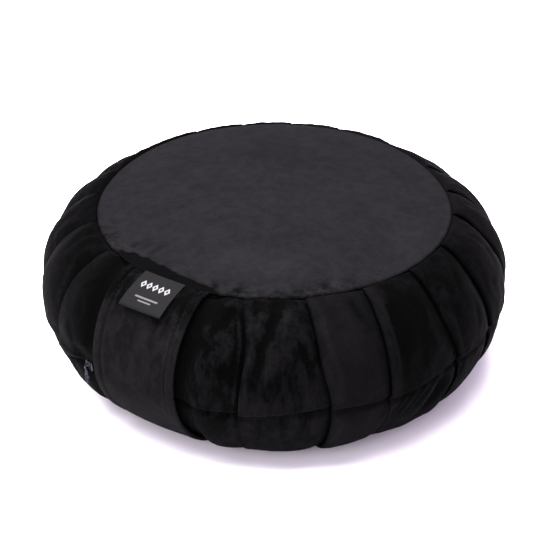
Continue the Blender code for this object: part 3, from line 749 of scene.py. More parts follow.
# How far in from a band's edge its rings lie: the first ones close to it, so that the edge stays crisp
INWARDS = (0.0004, 0.0016, 0.006, 0.03, 0.09, 0.2)


def rings_inwards(azimuth, reach, rise, middle_height):
    """Rings from a band's edge in to the middle."""
    rings = []
    for step in INWARDS:
        share = np.minimum(step / reach, 0.98)
        rings.append(at(azimuth, reach * (1 - share), rise + (middle_height - rise) * share))
    return rings


def wall_band(upper):
    """One filled band of the wall, as points in rows and columns, with named values at each."""
    rows = UPPER_ROWS if upper else LOWER_ROWS
    azimuth, reach, rise, place, stand, from_zip, held = cloth_points(rows, upper)
    half_gap = APART / 2
    points = at(azimuth, reach, rise)
    if upper:
        points[-1, :, 2] += half_gap
        below = rings_inwards(azimuth[-1], reach[-1], rise[-1] + half_gap, ZIP_MIDDLE + half_gap)
        ring = TOP_SEAM_RADIUS + half_gap
        floor = crown_height(TOP_SEAM_RADIUS) - PANEL_SUNK - LIP
        above = [
            at(azimuth[0], ring * share, crown_height(ring * share) - PANEL_SUNK - LIP)
            for share in (0.02, 0.4, 0.75, 0.93, 0.985)
        ]
        above += [at(azimuth[0], ring, floor), at(azimuth[0], ring, floor + 0.4 * (rise[0] - floor))]
        points[0] = at(azimuth[0], ring, rise[0])
    else:
        points[0, :, 2] -= half_gap
        above = rings_inwards(azimuth[0], reach[0], rise[0] - half_gap, ZIP_MIDDLE - half_gap)[::-1]
        ring = BASE_SEAM_RADIUS + half_gap
        below = [at(azimuth[-1], ring, height) for height in (0.0020, LIP)]
        below += [at(azimuth[-1], ring * share, LIP) for share in (0.98, 0.9, 0.5, 0.02)]

    def with_ends(values, first, last):
        return np.pad(values, ((len(above), len(below)), (0, 0)), constant_values=((first, last), (0, 0)))

    return np.concatenate((np.array(above), points, np.array(below))), {
        "place": with_ends(place, 0, 2), "skin": with_ends(np.ones_like(place), 0, 0),
        "stand": with_ends(stand, 0, 0), "from_zip": with_ends(from_zip, 1, 1), "held": with_ends(held, 1, 1),
    }


# How much painted shade darkens the wall's creases, the cloth under its fold laps, the zip line and its part
# under and beside the strap, how much painted highlight lightens its ridges, fold edges and the zip lip, and
# how wide the zip marks are
CREASE_PAINTED_SHADING = 190
FOLD_EDGE_PAINTED_HIGHLIGHT = 0.18
UNDER_FOLD_PAINTED_SHADE = 0.35
STRAP_SHADE = 0.45
ZIP_LINE_PAINTED_SHADE = 0.30
ZIP_LINE_HALF = 0.0008
LIP_PAINTED_HIGHLIGHT = 0.30
LIP_HALF = 0.0011
LEFT_LIP_PAINTED_HIGHLIGHT = 1.7
LEFT_LIP_HALF = 0.0012

# How unevenly the wall's pile lies, by azimuth
WALL_CRUSH = (
    (-180.0, 0.4), (-54.0, 0.4), (-26.0, 1.25), (-9.0, 1.2), (-7.0, 1.05), (8.0, 1.0), (13.5, 0.35),
    (26.0, 0.30), (31.0, 0.55), (45.0, 0.5), (52.0, 0.4), (180.0, 0.4),
)
# How light the wall reads as a whole, by azimuth
WALL_TONE = (
    (-180.0, -0.50), (-100.0, -0.60), (-78.0, -0.46), (-64.0, -0.42), (-50.0, -0.38), (-24.0, -0.13),
    (8.0, -0.10), (13.0, 0.02), (28.4, 0.02), (30.8, -0.26), (44.0, -0.32), (52.0, -0.40), (60.0, -0.38),
    (74.0, -0.08), (100.0, 0.0), (180.0, -0.15),
)
# Strokes where the wall reads lighter (above 0) or darker (below 0): painted shade along creases and fold
# lines, painted highlights along ridges and fold edges, and broad patches where the pile lies one way and
# another
WALL_LIE_AND_PAINTED_SHADING = (
    Crease(-0.40, 2.4, ((-17.5, 112), (-15.5, 107), (-16.5, 101))),
    Crease(-0.45, 2.6, ((-12.0, 127), (-13.5, 120), (-16.0, 116))),
    Crease(-0.40, 2.4, ((-13.5, 97), (-11.5, 92), (-12.5, 87))),
    Crease(-0.35, 2.0, ((-18.5, 92), (-17.5, 84))),
    Crease(-0.35, 1.6, ((2.6, 99), (3.4, 90), (3.0, 84))),
    Crease(-0.70, 9.0, ((-21.0, 52), (-14.0, 47), (-19.0, 28))),
    Crease(-0.45, 1.7, ((1.9, 131.5), (0.2, 126), (-1.7, 117), (-3.4, 107))),
    Crease(-0.40, 1.6, ((6.2, 114), (6.9, 107.7), (7.5, 101))),
    Crease(-0.35, 1.5, ((-4.8, 131.5), (-4.9, 123))),
    Crease(0.30, 1.4, ((-2.6, 130), (-4.2, 120), (-6.0, 104))),
    Crease(0.30, 1.8, ((4.6, 131), (3.0, 121), (1.6, 108))),
    Crease(-0.50, 1.0, ((-9.6, 131.8), (-7.5, 112), (-8.0, 88), (-8.9, 62))),
    Crease(0.50, 1.0, ((-10.4, 131.4), (-8.3, 112), (-8.8, 88), (-9.6, 64))),
    Crease(-0.50, 1.1, ((-11.2, 131.6), (-9.1, 112), (-9.6, 88), (-10.4, 63))),
    Crease(0.30, 1.6, ((-7.0, 131.0), (-5.6, 112), (-6.2, 92), (-7.0, 68))),
    Crease(0.30, 2.2, ((11.6, 131.0), (13.0, 112), (15.0, 88), (15.6, 64))),
    Crease(0.42, 1.3, ((29.3, 130.0), (29.7, 112), (29.9, 92), (29.8, 70))),
    Crease(-0.34, 7.5, ((34.6, 130.0), (32.0, 112), (32.2, 92), (32.0, 70))),
    Crease(-0.30, 9.0, ((-24.0, 118), (-23.0, 90), (-22.0, 66))),
    Crease(0.35, 2.4, ((-72.0, 128), (-76.0, 112), (-77.5, 90), (-76.0, 72))),
    Crease(0.30, 3.0, ((-84.0, 128), (-90.0, 108), (-92.0, 88))),
    Crease(0.42, 4.0, ((58.0, 120), (60.5, 100), (61.0, 84))),
    Crease(-0.45, 3.0, ((2.2, 132), (0.4, 126), (-1.5, 117), (-3.3, 106), (-4.4, 94), (-4.7, 76))),
    Crease(-0.30, 16.0, ((38.0, 128), (39.0, 100), (40.0, 80))),
    Crease(0.20, 14.0, ((20.0, 120), (20.0, 90))),
    Crease(-0.25, 18.0, ((-54.0, 122), (-56.0, 85))),
    Crease(-0.30, 8.0, ((-18.0, 130), (-14.0, 120))),
)


def make_wall(name, upper, fill, creases, node, seed):
    mesh = closed_mesh(strip(*wall_band(upper)))
    mesh = filled_out(mesh, read_layer(mesh, "held"), *fill)
    mesh = holes_filled(settled(mesh, SUBDIVIDE))
    here, normals = mesh_points(mesh), mesh_normals(mesh)
    azimuth = np.degrees(np.arctan2(here[:, 0], -here[:, 1]))
    down, skin = read_layer(mesh, "place"), read_layer(mesh, "skin")
    press = strap_press(azimuth, down)
    relief = crease_relief(creases, azimuth, down)
    write_layer(mesh, "lie_and_painted_shading", wall_lie_and_painted_shading(mesh, azimuth, down, press, relief, upper))
    write_layer(mesh, "crush", np.interp(azimuth, *np.array(WALL_CRUSH).T))
    relief += 0.00045 * lumps(here, 0.020, seed) + 0.00025 * lumps(here, 0.008, seed + 1)
    ends = ease(down / 0.10) * ease((2 - down) / 0.15)
    here = here + normals * (relief * skin * ends * (1 - 0.9 * press))[:, None]
    here[:, 2] = np.maximum(here[:, 2], WALL_OFF_FLOOR)
    set_points(mesh, raised_behind(here))
    piece = finish(name, mesh, WALL_VELVET, "wall_velvet", node)


def wall_lie_and_painted_shading(mesh, azimuth, down, press, relief, upper):
    """How light the wall reads: strokes of pile patches and painted shade, painted shade in creases, under the
    laps, along the zip line and by the strap, and painted highlights on ridges, fold edges and the zip lip.
    """
    stand, from_zip, left = read_layer(mesh, "stand"), read_layer(mesh, "from_zip"), left_lip(azimuth)
    strokes = -crease_relief(WALL_LIE_AND_PAINTED_SHADING, azimuth, down) * 1000
    # Painted shade in the creases and painted highlights on the ridges, over the wall's tone by azimuth
    lie_and_painted_shading = strokes + CREASE_PAINTED_SHADING * relief + np.interp(azimuth, *np.array(WALL_TONE).T)
    # Painted highlights on the fold edges, painted shade under the laps
    lie_and_painted_shading += FOLD_EDGE_PAINTED_HIGHLIGHT * ease((stand - 0.7) / 0.4) - UNDER_FOLD_PAINTED_SHADE * ease((-stand - 0.95) / 0.4)
    # Painted shade along the zip line
    lie_and_painted_shading -= ZIP_LINE_PAINTED_SHADE * np.exp(-(from_zip / ZIP_LINE_HALF) ** 2)
    if upper:
        # Painted highlight along the zip seam's lip, broader and brighter to the left of the strap
        half = LIP_HALF + LEFT_LIP_HALF * left
        lie_and_painted_shading += (LIP_PAINTED_HIGHLIGHT + LEFT_LIP_PAINTED_HIGHLIGHT * left) * np.exp(-((from_zip - half - 0.0006) / half) ** 2)
    return lie_and_painted_shading - STRAP_SHADE * press


# The top panel

PANEL_COLUMNS = 240
PANEL_RINGS = (
    0.005, 0.012, 0.03, 0.055, 0.085, 0.12, 0.16, 0.20, 0.24, 0.28, 0.32, 0.36, 0.40, 0.44, 0.48, 0.52, 0.56,
    0.60, 0.635, 0.67, 0.70, 0.73, 0.76, 0.785, 0.81, 0.833, 0.855, 0.875, 0.893, 0.91, 0.925, 0.938, 0.950,
    0.960, 0.969, 0.977, 0.984, 0.990, 0.9945, 0.998, 1.0,
)
# Where the panel starts to roll down into its seam: the strap and label are sewn in on the left and pull it
ROLL_FROM = (
    (-66.0, 0.1338), (-57.0, 0.1318), (-53.0, 0.1262), (-46.0, 0.1248), (-38.0, 0.1246), (-31.0, 0.1262),
    (-24.0, 0.1292), (-14.0, 0.1338),
)
ROLL_CLEAR = 0.1336
ROLL_DROP = 0.0010
# Dents and small folds in the top panel, in mm, along azimuths and radii in mm
TOP_CREASES = (
    Crease(0.9, 3.0, ((16.7, 124), (16.5, 133))),
    Crease(0.8, 3.0, ((25.8, 124), (25.5, 132))),
    Crease(0.7, 2.6, ((8.2, 126), (8.0, 133))),
    Crease(0.7, 2.6, ((2.7, 127), (2.5, 133))),
    Crease(0.7, 3.0, ((-11.6, 126), (-11.0, 133))),
    Crease(0.8, 3.4, ((-19.4, 125), (-19.0, 132))),
    Crease(0.6, 3.0, ((57.9, 128), (57.0, 134))),
    Crease(0.6, 3.0, ((45.0, 127), (45.2, 134))),
    Crease(0.5, 3.0, ((35.0, 128), (35.0, 134))),
    Crease(0.9, 2.6, ((-57.7, 128), (-56.8, 118), (-55.0, 109))),
    Crease(0.9, 2.8, ((-53.4, 128), (-52.9, 114), (-51.0, 102))),
    Crease(0.8, 2.6, ((-49.0, 123), (-49.5, 111), (-48.0, 101))),
    Crease(-0.5, 3.0, ((-55.3, 126), (-54.6, 112))),
    Crease(0.6, 2.6, ((-43.5, 122), (-43.0, 113))),
    Crease(0.6, 3.0, ((-36.0, 122), (-35.5, 116))),
    Crease(0.4, 2.4, ((102.4, 104), (102.6, 133))),
    Crease(0.4, 2.4, ((96.8, 108), (97.6, 133))),
    Crease(0.4, 2.4, ((91.1, 101), (92.4, 131))),
    Crease(0.4, 2.4, ((110.0, 118), (108.5, 133))),
    Crease(0.5, 3.0, ((-75.0, 124), (-74.5, 132))),
    Crease(0.5, 3.0, ((-92.0, 123), (-92.0, 132))),
)
# Strokes where the top panel reads lighter (above 0) or darker (below 0): painted shade in its dents and small
# folds by the rim, and broad patches where the pile lies one way and another
TOP_LIE_AND_PAINTED_SHADING = (
    Crease(-0.30, 6.0, ((-57.7, 128), (-56.8, 118), (-55.0, 109))),
    Crease(-0.25, 4.0, ((-49.0, 123), (-49.5, 111), (-48.0, 103))),
    Crease(0.20, 16.0, ((-30.0, 100), (10.0, 105))),
    Crease(-0.15, 30.0, ((160.0, 70), (200.0, 80))),
    Crease(0.15, 14.0, ((70.0, 118), (50.0, 122))),
    Crease(-0.35, 4.0, ((-19.4, 125), (-19.0, 132))),
    Crease(-0.35, 3.4, ((16.7, 124), (16.5, 133))),
    Crease(-0.30, 3.4, ((25.8, 124), (25.5, 132))),
    Crease(-0.25, 3.0, ((8.2, 126), (8.0, 133))),
    Crease(-0.30, 4.0, ((-11.6, 126), (-11.0, 133))),
)


# Smooth unevenness of the panel: height, size of its lumps, and the place in the noise
PANEL_LUMPS = ((0.0009, 0.055, 11), (0.0004, 0.020, 12), (0.00012, 0.007, 13))
# Painted shade at the panel's rim: how much darker it reads where it rolls down into its seam by the strap,
# and at its very edge
NEAR_STRAP_PAINTED_SHADE = 0.9
EDGE_PAINTED_SHADE = 0.35
# The front-left sector, whose rim is painted a little darker and whose pile patches are stronger
FRONT_LEFT = -28.0
FRONT_LEFT_REACH = 62.0
FRONT_LEFT_FADE = 20.0


def disc_relief(creases, azimuth, radius):
    """How far dents and small folds move the panel down or up here, each one fading out at its ends."""
    relief = np.zeros_like(azimuth)
    for crease in creases:
        ends = np.array(crease.path, dtype=float)
        middle = ends[:, 0].mean()
        turn = np.radians(azimuth - middle)
        path_turn, path_radius = np.radians(ends[:, 0] - middle), ends[:, 1] / 1000
        across, along = radius * np.sin(turn), radius * np.cos(turn)
        path_across, path_along = path_radius * np.sin(path_turn), path_radius * np.cos(path_turn)
        relief -= stroke(across, along, path_across, path_along, crease)
    return relief


def roll_start(azimuth):
    """Radius at which the panel starts to roll down into its seam."""
    return np.where(
        (azimuth > ROLL_FROM[0][0]) & (azimuth < ROLL_FROM[-1][0]), eased(ROLL_FROM, azimuth), ROLL_FROM[0][1]
    )


def make_top_panel():
    edge = TOP_SEAM_RADIUS - APART
    azimuth = np.linspace(0, 360, PANEL_COLUMNS + 1)[None, :]
    signed = (azimuth + 180) % 360 - 180
    rings = np.array(PANEL_RINGS)[:, None] * edge
    sunk = crown_height(rings) - PANEL_SUNK
    start = roll_start(signed)
    fall = np.clip((rings - start) / (edge - start), 0, 1)
    top = at(azimuth, rings, sunk - ROLL_DROP * fall ** 2)
    under_rings = np.array((0.998, 0.97, 0.6, 0.02))[:, None] * edge
    under = at(azimuth, under_rings, crown_height(under_rings) - PANEL_SUNK - CLOTH)
    mesh = closed_mesh(strip(np.concatenate((top, under))))
    mesh = holes_filled(settled(mesh, SUBDIVIDE))
    here, normals = mesh_points(mesh), mesh_normals(mesh)
    angle, radius = np.degrees(np.arctan2(here[:, 0], -here[:, 1])), np.hypot(here[:, 0], here[:, 1])
    relief = disc_relief(TOP_CREASES, angle, radius)
    relief += sum(height * lumps(here, size, seed) for height, size, seed in PANEL_LUMPS)
    relief -= 0.0006 * ease((radius - 0.112) / 0.02) * (0.5 + 0.5 * lumps(here * (1, 1, 0), 0.011, 14))
    relief *= ease((edge - radius) / 0.004) * (normals[:, 2] > 0)
    set_points(mesh, raised_behind(here + normals * relief[:, None]))
    start = roll_start(angle)
    # Pile patches, and painted shade in the dents
    lie_and_painted_shading = -disc_relief(TOP_LIE_AND_PAINTED_SHADING, angle, radius) * 1000
    # Painted shade where the panel rolls down into its seam by the strap, at its very edge, and near the rim
    # at the front left
    near_strap = ease((ROLL_CLEAR - start) / 0.003)
    uneven = 0.0016 * lumps(here * (1, 1, 0), 0.006, 15)
    lie_and_painted_shading -= NEAR_STRAP_PAINTED_SHADE * near_strap * ease((radius - start + 0.0012 + uneven) / 0.0018)
    lie_and_painted_shading -= EDGE_PAINTED_SHADE * ease((radius - edge + 0.002) / 0.0015)
    front_left = ease((FRONT_LEFT_REACH - np.abs(angle - FRONT_LEFT)) / FRONT_LEFT_FADE)
    lie_and_painted_shading -= 0.12 * front_left * ease((radius - 0.124) / 0.010)
    write_layer(mesh, "lie_and_painted_shading", lie_and_painted_shading)
    write_layer(mesh, "crush", 0.36 + 0.65 * ease((radius - 0.116) / 0.018) * front_left)
    piece = finish("top_panel_velvet", mesh, TOP_VELVET, "top_velvet", "top_panel")


def make_base_panel():
    edge = BASE_SEAM_RADIUS - APART
    azimuth = np.linspace(0, 360, 121)[None, :]
    outline = (
        (0.0, 0.0), (0.4, 0.0), (0.8, 0.0), (0.95, 0.0), (0.985, 0.0002), (1.0, 0.0009), (1.0, 0.0020),
        (0.99, CLOTH), (0.9, CLOTH), (0.5, CLOTH), (0.0, CLOTH),
    )
    shares, heights = np.array(outline).T
    mesh = closed_mesh(strip(at(azimuth, shares[:, None] * edge, heights[:, None])))
    write_layer(mesh, "lie_and_painted_shading", np.zeros(len(mesh.vertices)))
    write_layer(mesh, "crush", np.full(len(mesh.vertices), 0.5))
    piece = finish("base_panel_velvet", mesh, WALL_VELVET, "wall_velvet", "base_panel")


# The carry strap and its label

HEM = 0.0070
HEM_RISE = 0.0006
STITCH_DIP = 0.0007
TOP_DIP = 0.0006
# Ways in from the strap's edge at which its columns lie
STRAP_FROM_EDGE = (
    0.0, 0.0007, 0.0016, 0.0028, 0.0040, 0.0050, 0.0058, 0.0063, 0.0068, 0.0073, 0.0079, 0.0087, 0.0100,
    0.0125, 0.018, 0.021, 0.024, 0.027, 0.030, 0.033, 0.036,
)
# Gathers under the top seam: side and length in mm, depth in mm
GATHERS = (
    (-34.0, 17, 0.8), (-29.0, 24, 1.0), (-24.0, 14, 0.7), (14.0, 15, 0.6), (21.0, 20, 0.8), (28.0, 16, 0.7),
)


def strap_point(side, place, lift):
    """A point on the strap or above it, at a way sideways from its middle and a place down the wall."""
    radius, height, out_radius, out_height = profile(place)
    azimuth = STRAP_AZIMUTH + np.degrees(np.arcsin(side / radius))
    rise = lift - eased(STRAP_SINK, place)
    return at(azimuth, radius + out_radius * rise, np.maximum(height + out_height * rise, STRAP_OFF_FLOOR))


def strap_lift(side, place):
    """Height of the strap's middle layer over the pressed wall: hems, stitch line, gathers and waves."""
    free = ease(place / STRAP_FREE_BELOW_TOP) * (1 - ease((place - STRAP_HELD_FROM) / STRAP_HELD_FADE))
    from_edge = STRAP_WIDTH / 2 - np.abs(side)
    down = cloth_length(place)
    lift = STRAP_CLEAR + STRAP_CLOTH / 2 + free * STRAP_EDGE_LIFT * (side / (STRAP_WIDTH / 2)) ** 2
    lift = lift + HEM_RISE * (1 - ease((from_edge - HEM + 0.0006) / 0.0012))
    lift = lift - STITCH_DIP * np.exp(-((from_edge - HEM + 0.0004) / 0.0009) ** 2)
    lift = lift - TOP_DIP * np.exp(-(down / 0.006) ** 2)
    for middle, reach, depth in GATHERS:
        fade = 1 - ease((down * 1000 - 4) / reach)
        lift = lift - depth / 1000 * fade * np.exp(-((side * 1000 - middle) / 1.8) ** 2)
        lift = lift + 0.6 * depth / 1000 * fade * np.exp(-((side * 1000 - middle - 3.0) / 2.0) ** 2)
    waves = 0.0005 * np.sin(down / 0.021 + 0.8) * np.sin(side / 0.019 + 1.7)
    ripple = 0.0003 * np.sin(down / 0.0075 + 2.0 * np.sin(down / 0.03))
    ripple = ripple * (1 - ease((from_edge - 0.004) / 0.008))
    return lift + (waves + ripple) * ease(place / 0.15) * (1 - ease((place - 1.5) / 0.3))


def make_strap():
    half = [STRAP_WIDTH / 2 - value for value in STRAP_FROM_EDGE]
    side = np.array([-value for value in half] + half[-2::-1])[None, :]
    start, end = cloth_length(STRAP_START), cloth_length(STRAP_END)
    place = place_at_length(np.linspace(start, end, STRAP_ROWS + 1))[:, None]
    points = strap_point(side, place, strap_lift(side, place))
    mesh = sheet_mesh(points, {"side": np.broadcast_to(side, points.shape[:2])}, STRAP_CLOTH)
    here = mesh_points(mesh)
    here[:, 2] = np.maximum(here[:, 2], STRAP_OFF_FLOOR)
    set_points(mesh, here)
    side = read_layer(mesh, "side")
    from_edge = STRAP_WIDTH / 2 - np.abs(side)
    # Random lumps of tone, and painted shade darkening the strap towards the top seam and the label
    lie_and_painted_shading = 0.22 * lumps(here, 0.03, 21) - 0.55 * ease((here[:, 2] - 0.110) / 0.018)
    # Painted highlights on the strap's edges and hem ridges, painted shade along the stitch lines and in the
    # gathers
    rim_highlight = 0.30 * np.exp(-(from_edge / 0.0012) ** 2)
    lie_and_painted_shading += rim_highlight + 0.20 * np.exp(-((from_edge - HEM - 0.0018) / 0.0012) ** 2)
    lie_and_painted_shading -= (0.12 + 0.2 * (side > 0)) * np.exp(-((from_edge - HEM + 0.0002) / 0.0009) ** 2)
    gathers = sum(np.exp(-((side * 1000 - middle) / 1.8) ** 2) for middle, _, _ in GATHERS)
    lie_and_painted_shading -= 0.30 * gathers * ease((here[:, 2] - 0.106) / 0.012)
    write_layer(mesh, "lie_and_painted_shading", lie_and_painted_shading)
    write_layer(mesh, "crush", np.full(len(mesh.vertices), 0.75))
    piece = finish("carry_strap_velvet", mesh, STRAP_VELVET, "strap_velvet", "carry_strap")
    stitches = make_stitches(start, end)
    return piece


# Stitches of the hems: the height above the floor at which they end, pitch, length and thickness
STITCHES_END = 0.004
STITCH_PITCH = 0.0036
STITCH_LENGTH = 0.0024
THREAD_RADIUS = 0.00030


def make_stitches(start, end):
    """Two rows of small thread stitches along the strap's hems."""
    shape = bmesh.new()
    count = int((end - start - 0.02) / STITCH_PITCH)
    for edge in (-1, 1):
        side = edge * (STRAP_WIDTH / 2 - HEM + 0.0004)
        for number in range(count):
            down = start + 0.008 + number * STITCH_PITCH
            ends = place_at_length(np.array((down, down + STITCH_LENGTH)))
            lift = strap_lift(side, ends) + STRAP_CLOTH / 2 + 0.00002
            first, last = (Vector(point) for point in strap_point(np.full(2, side), ends, lift))
            if last.z < STITCHES_END:
                break
            turn = (last - first).to_track_quat("X", "Z").to_matrix().to_4x4()
            place_it = Matrix.Translation((first + last) / 2) @ turn
            size = Matrix.Diagonal(((last - first).length / 2, THREAD_RADIUS, THREAD_RADIUS, 1))
            bmesh.ops.create_uvsphere(shape, u_segments=6, v_segments=5, radius=1, matrix=place_it @ size)
    return finish("strap_stitches", made_mesh(shape), THREAD, "strap_velvet")


def thread():
    material, nodes, links, shader = node_tree("black_thread")
    place = add(nodes, "ShaderNodeTexCoord").outputs["Object"]
    tone = cloudy(nodes, links, place, 900, 1.0, 0.0, 0.3, 0.7)
    colour = two_tone(nodes, links, tone, (0.0005, 0.0005, 0.0006), (0.0016, 0.0015, 0.0017))
    links.new(colour, shader.inputs["Base Color"])
    shader.inputs["Roughness"].default_value = 0.7
    shader.inputs["Specular IOR Level"].default_value = 0.05
    return material


THREAD = thread()

LABEL_WIDTH = 0.036
LABEL_LENGTH = 0.030
LABEL_PLY = 0.00045
LABEL_START = 0.012
LABEL_LIFT = 0.0054
LABEL_STIFF = 0.6
LABEL_COLUMNS = 28
LABEL_ROWS = 30
LABEL_FOLD = (0.25, 0.5, 0.75)
LAYERS_APART = 0.00105
LOZENGES = 5
LOZENGES_WIDE = 0.72
LABEL_RIBS = 62
LABEL_WARP = 90


def flatter(points, side, down):
    """The label's points drawn towards the flat sheet between its own four corners."""
    across = (side / LABEL_WIDTH + 0.5)[..., None]
    down = down[..., None]
    upper = points[0, 0] + (points[0, -1] - points[0, 0]) * across
    lower = points[-1, 0] + (points[-1, -1] - points[-1, 0]) * across
    return points + LABEL_STIFF * (upper + (lower - upper) * down - points)


def make_label(strap):
    """A woven label folded at its lower end, both layers sewn into the top seam over the strap."""
    top = cloth_length(LABEL_START)
    down = np.linspace(0, 1, LABEL_ROWS + 1)[:, None]
    side = np.linspace(-1, 1, LABEL_COLUMNS + 1)[None, :] * LABEL_WIDTH / 2
    over_strap = STRAP_CLEAR + STRAP_CLOTH + APART + 0.0011
    corner = 0.0006 * ease(side / LABEL_WIDTH + 0.5) * down ** 2
    swell = 0.0004 * np.sin(np.pi * down) + 0.00025 * np.cos(np.pi * side / LABEL_WIDTH)
    outer_lift = over_strap + LABEL_LIFT * ease(down) + corner + swell
    inner_lift = outer_lift - LAYERS_APART - 0.6 * swell
    place = place_at_length(top + down * LABEL_LENGTH)
    outer = flatter(strap_point(side, place, outer_lift), side, down)
    inner = flatter(strap_point(side, place, inner_lift), side, down)
    fold = []
    for share in LABEL_FOLD:
        past = place_at_length(top + LABEL_LENGTH + LABEL_PLY * math.sin(math.pi * share))
        lift = outer_lift[-1] + (inner_lift[-1] - outer_lift[-1]) * share
        middle = outer[-1] + (inner[-1] - outer[-1]) * share
        past_fold = strap_point(side[0], np.full_like(side[0], past), lift)
        fold.append(middle + (past_fold - strap_point(side[0], place[-1], lift)))
    inner = inner[:2:-1]
    points = np.concatenate((outer, np.array(fold), inner))
    ticks = np.concatenate((down[:, 0], np.full(len(fold), 1.0), np.full(len(inner), 2.0)))
    along = np.repeat(ticks[:, None], LABEL_COLUMNS + 1, axis=1)
    across = np.repeat(side / LABEL_WIDTH + 0.5, len(ticks), axis=0)
    mesh = sheet_mesh(points, {"across": across, "along": along}, LABEL_PLY)
    piece = finish("woven_label", mesh, woven_label(), "woven_label", "label")


def woven_label():
    """Grey satin weave with fine ribs, and a small woven row of pale lozenges over two plain lines."""
    material, nodes, links, shader = node_tree("woven_label")
    across = add(nodes, "ShaderNodeAttribute", attribute_name="across").outputs["Fac"]
    along = add(nodes, "ShaderNodeAttribute", attribute_name="along").outputs["Fac"]

    def maths(operation, first, second=None, third=None):
        node = add(nodes, "ShaderNodeMath", operation=operation)
        for socket, value in zip(node.inputs, (first, second, third)):
            if value is None:
                continue
            if isinstance(value, (int, float)):
                socket.default_value = value
            else:
                links.new(value, socket)
        return node.outputs[0]

    def band(value, middle, half):
        away = maths("ABSOLUTE", maths("SUBTRACT", value, middle))
        return maths("LESS_THAN", away, half)

    cells = maths("MULTIPLY", maths("SUBTRACT", across, 0.5 - LOZENGES_WIDE / 2), LOZENGES / LOZENGES_WIDE)
    in_cell = maths("ABSOLUTE", maths("SUBTRACT", maths("FRACT", cells), 0.5))
    off_row = maths("DIVIDE", maths("ABSOLUTE", maths("SUBTRACT", along, 0.36)), 0.115)
    off_middle = maths("ADD", maths("MULTIPLY", in_cell, 2.1), off_row)
    ring = maths("MULTIPLY", maths("LESS_THAN", off_middle, 0.92), maths("GREATER_THAN", off_middle, 0.36))
    within = maths("MULTIPLY", maths("GREATER_THAN", cells, 0), maths("LESS_THAN", cells, LOZENGES))
    lozenges = maths("MULTIPLY", ring, within)
    line = maths("MULTIPLY", band(along, 0.70, 0.022), band(across, 0.5, 0.27))
    short = maths("MULTIPLY", band(along, 0.79, 0.018), band(across, 0.5, 0.15))
    lines = maths("MULTIPLY", maths("MAXIMUM", line, short), 0.4)
    motif = maths("MAXIMUM", lozenges, lines)
    ribs = maths("SINE", maths("MULTIPLY", along, 2 * math.pi * LABEL_RIBS))
    warp = maths("SINE", maths("MULTIPLY", across, 2 * math.pi * LABEL_WARP))
    weave = maths("MULTIPLY_ADD", maths("MULTIPLY", ribs, warp), 0.5, 0.5)
    ground = two_tone(nodes, links, weave, (0.0013, 0.0013, 0.0014), (0.0028, 0.0028, 0.0030))
    colour = add(nodes, "ShaderNodeMix", data_type="RGBA")
    colour.inputs["B"].default_value = (0.16, 0.16, 0.163, 1)
    links.new(motif, colour.inputs["Factor"])
    links.new(ground, colour.inputs["A"])
    links.new(colour.outputs["Result"], shader.inputs["Base Color"])
    shader.inputs["Roughness"].default_value = 0.55
    shader.inputs["Specular IOR Level"].default_value = 0.05
    relief = add(nodes, "ShaderNodeBump")
    relief.inputs["Strength"].default_value = 0.4
    relief.inputs["Distance"].default_value = 0.00015
    links.new(maths("ADD", weave, maths("MULTIPLY", motif, 1.5)), relief.inputs["Height"])
    links.new(relief.outputs["Normal"], shader.inputs["Normal"])
    return material


# Zip metal

def zip_metal():
    material, nodes, links, shader = node_tree("zip_metal")
    place = add(nodes, "ShaderNodeTexCoord").outputs["Object"]
    wear = cloudy(nodes, links, place, 500, 3.0, 0.5, 0.35, 0.65)
    colour = two_tone(nodes, links, wear, (0.022, 0.022, 0.024), (0.055, 0.055, 0.060))
    links.new(colour, shader.inputs["Base Color"])
    rough = add(nodes, "ShaderNodeMapRange")
    rough.inputs["To Min"].default_value = 0.22
    rough.inputs["To Max"].default_value = 0.42
    links.new(wear, rough.inputs["Value"])
    links.new(rough.outputs["Result"], shader.inputs["Roughness"])
    shader.inputs["Metallic"].default_value = 1.0
    shader.inputs["Specular Tint"].default_value = (0.30, 0.30, 0.31, 1)
    return material


ZIP_METAL = zip_metal()
for name in ("zip_slider", "zip_pull"):
    materials = bpy.data.objects[name].data.materials
    materials.clear()
    materials.append(ZIP_METAL)


# Floor, lights and camera

CAMERA_DISTANCE = 1.358
CAMERA_ELEVATION = 30.94
CAMERA_AIM = (0.0005, 0.0, 0.0691)
CAMERA_LENS = 112.57
LAMP_TINT = (1.0, 0.98, 1.0)
STUDIO_TINT = (0.93, 0.79, 1.0, 1)
STUDIO_STRENGTH = 1.3


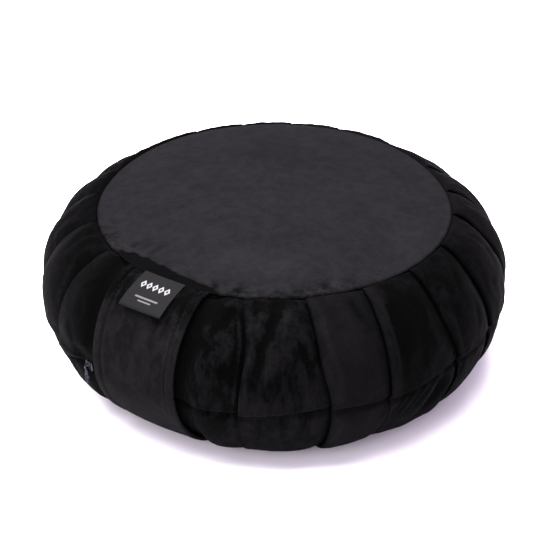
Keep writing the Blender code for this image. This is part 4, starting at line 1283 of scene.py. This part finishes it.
def make_floor():
    shape = bmesh.new()
    bmesh.ops.create_circle(shape, cap_ends=True, segments=96, radius=6.0)
    mesh = made_mesh(shape)
    material, _, _, shader = node_tree("pale_floor")
    shader.inputs["Base Color"].default_value = (0.93, 0.925, 0.94, 1)
    shader.inputs["Roughness"].default_value = 0.9
    shader.inputs["Specular IOR Level"].default_value = 0.1
    mesh.materials.append(material)
    floor = bpy.data.objects.new("floor", mesh)
    bpy.context.scene.collection.objects.link(floor)


def make_light(name, size, power, place, aim):
    data = bpy.data.lights.new(name, "AREA")
    data.shape = "RECTANGLE"
    data.size, data.size_y = size
    data.energy = power
    data.color = LAMP_TINT
    lamp = bpy.data.objects.new(name, data)
    lamp.location = place
    lamp.rotation_euler = (Vector(aim) - Vector(place)).to_track_quat("-Z", "Y").to_euler()
    bpy.context.scene.collection.objects.link(lamp)


def make_studio():
    world = bpy.data.worlds.new("studio")
    world.use_nodes = True
    backdrop = world.node_tree.nodes["Background"]
    backdrop.inputs["Color"].default_value = STUDIO_TINT
    backdrop.inputs["Strength"].default_value = STUDIO_STRENGTH
    bpy.context.scene.world = world
    bpy.context.scene.view_settings.view_transform = "Standard"


def make_camera():
    data = bpy.data.cameras.new("camera")
    data.lens = CAMERA_LENS
    data.sensor_width = 36
    camera = bpy.data.objects.new("camera", data)
    tilt = math.radians(CAMERA_ELEVATION)
    back = Vector((0.0, -math.cos(tilt), math.sin(tilt)))
    camera.location = Vector(CAMERA_AIM) + CAMERA_DISTANCE * back
    camera.rotation_euler = (math.radians(90 - CAMERA_ELEVATION), 0, 0)
    bpy.context.scene.collection.objects.link(camera)
    bpy.context.scene.camera = camera


make_wall("upper_wall_velvet", True, UPPER_FILL, UPPER_CREASES, "upper_wall", seed=1)
make_wall("lower_wall_velvet", False, LOWER_FILL, LOWER_CREASES, "lower_wall", seed=4)
make_top_panel()
make_base_panel()
make_label(make_strap())

make_floor()
make_light("top_softbox", size=(1.6, 1.6), power=136, place=(-0.3, 0.0, 1.5), aim=(0, 0, 0.1))
make_light("front_softbox", size=(1.4, 0.9), power=16, place=(-0.7, -1.5, 1.0), aim=(0, 0, 0.08))
make_studio()
make_camera()
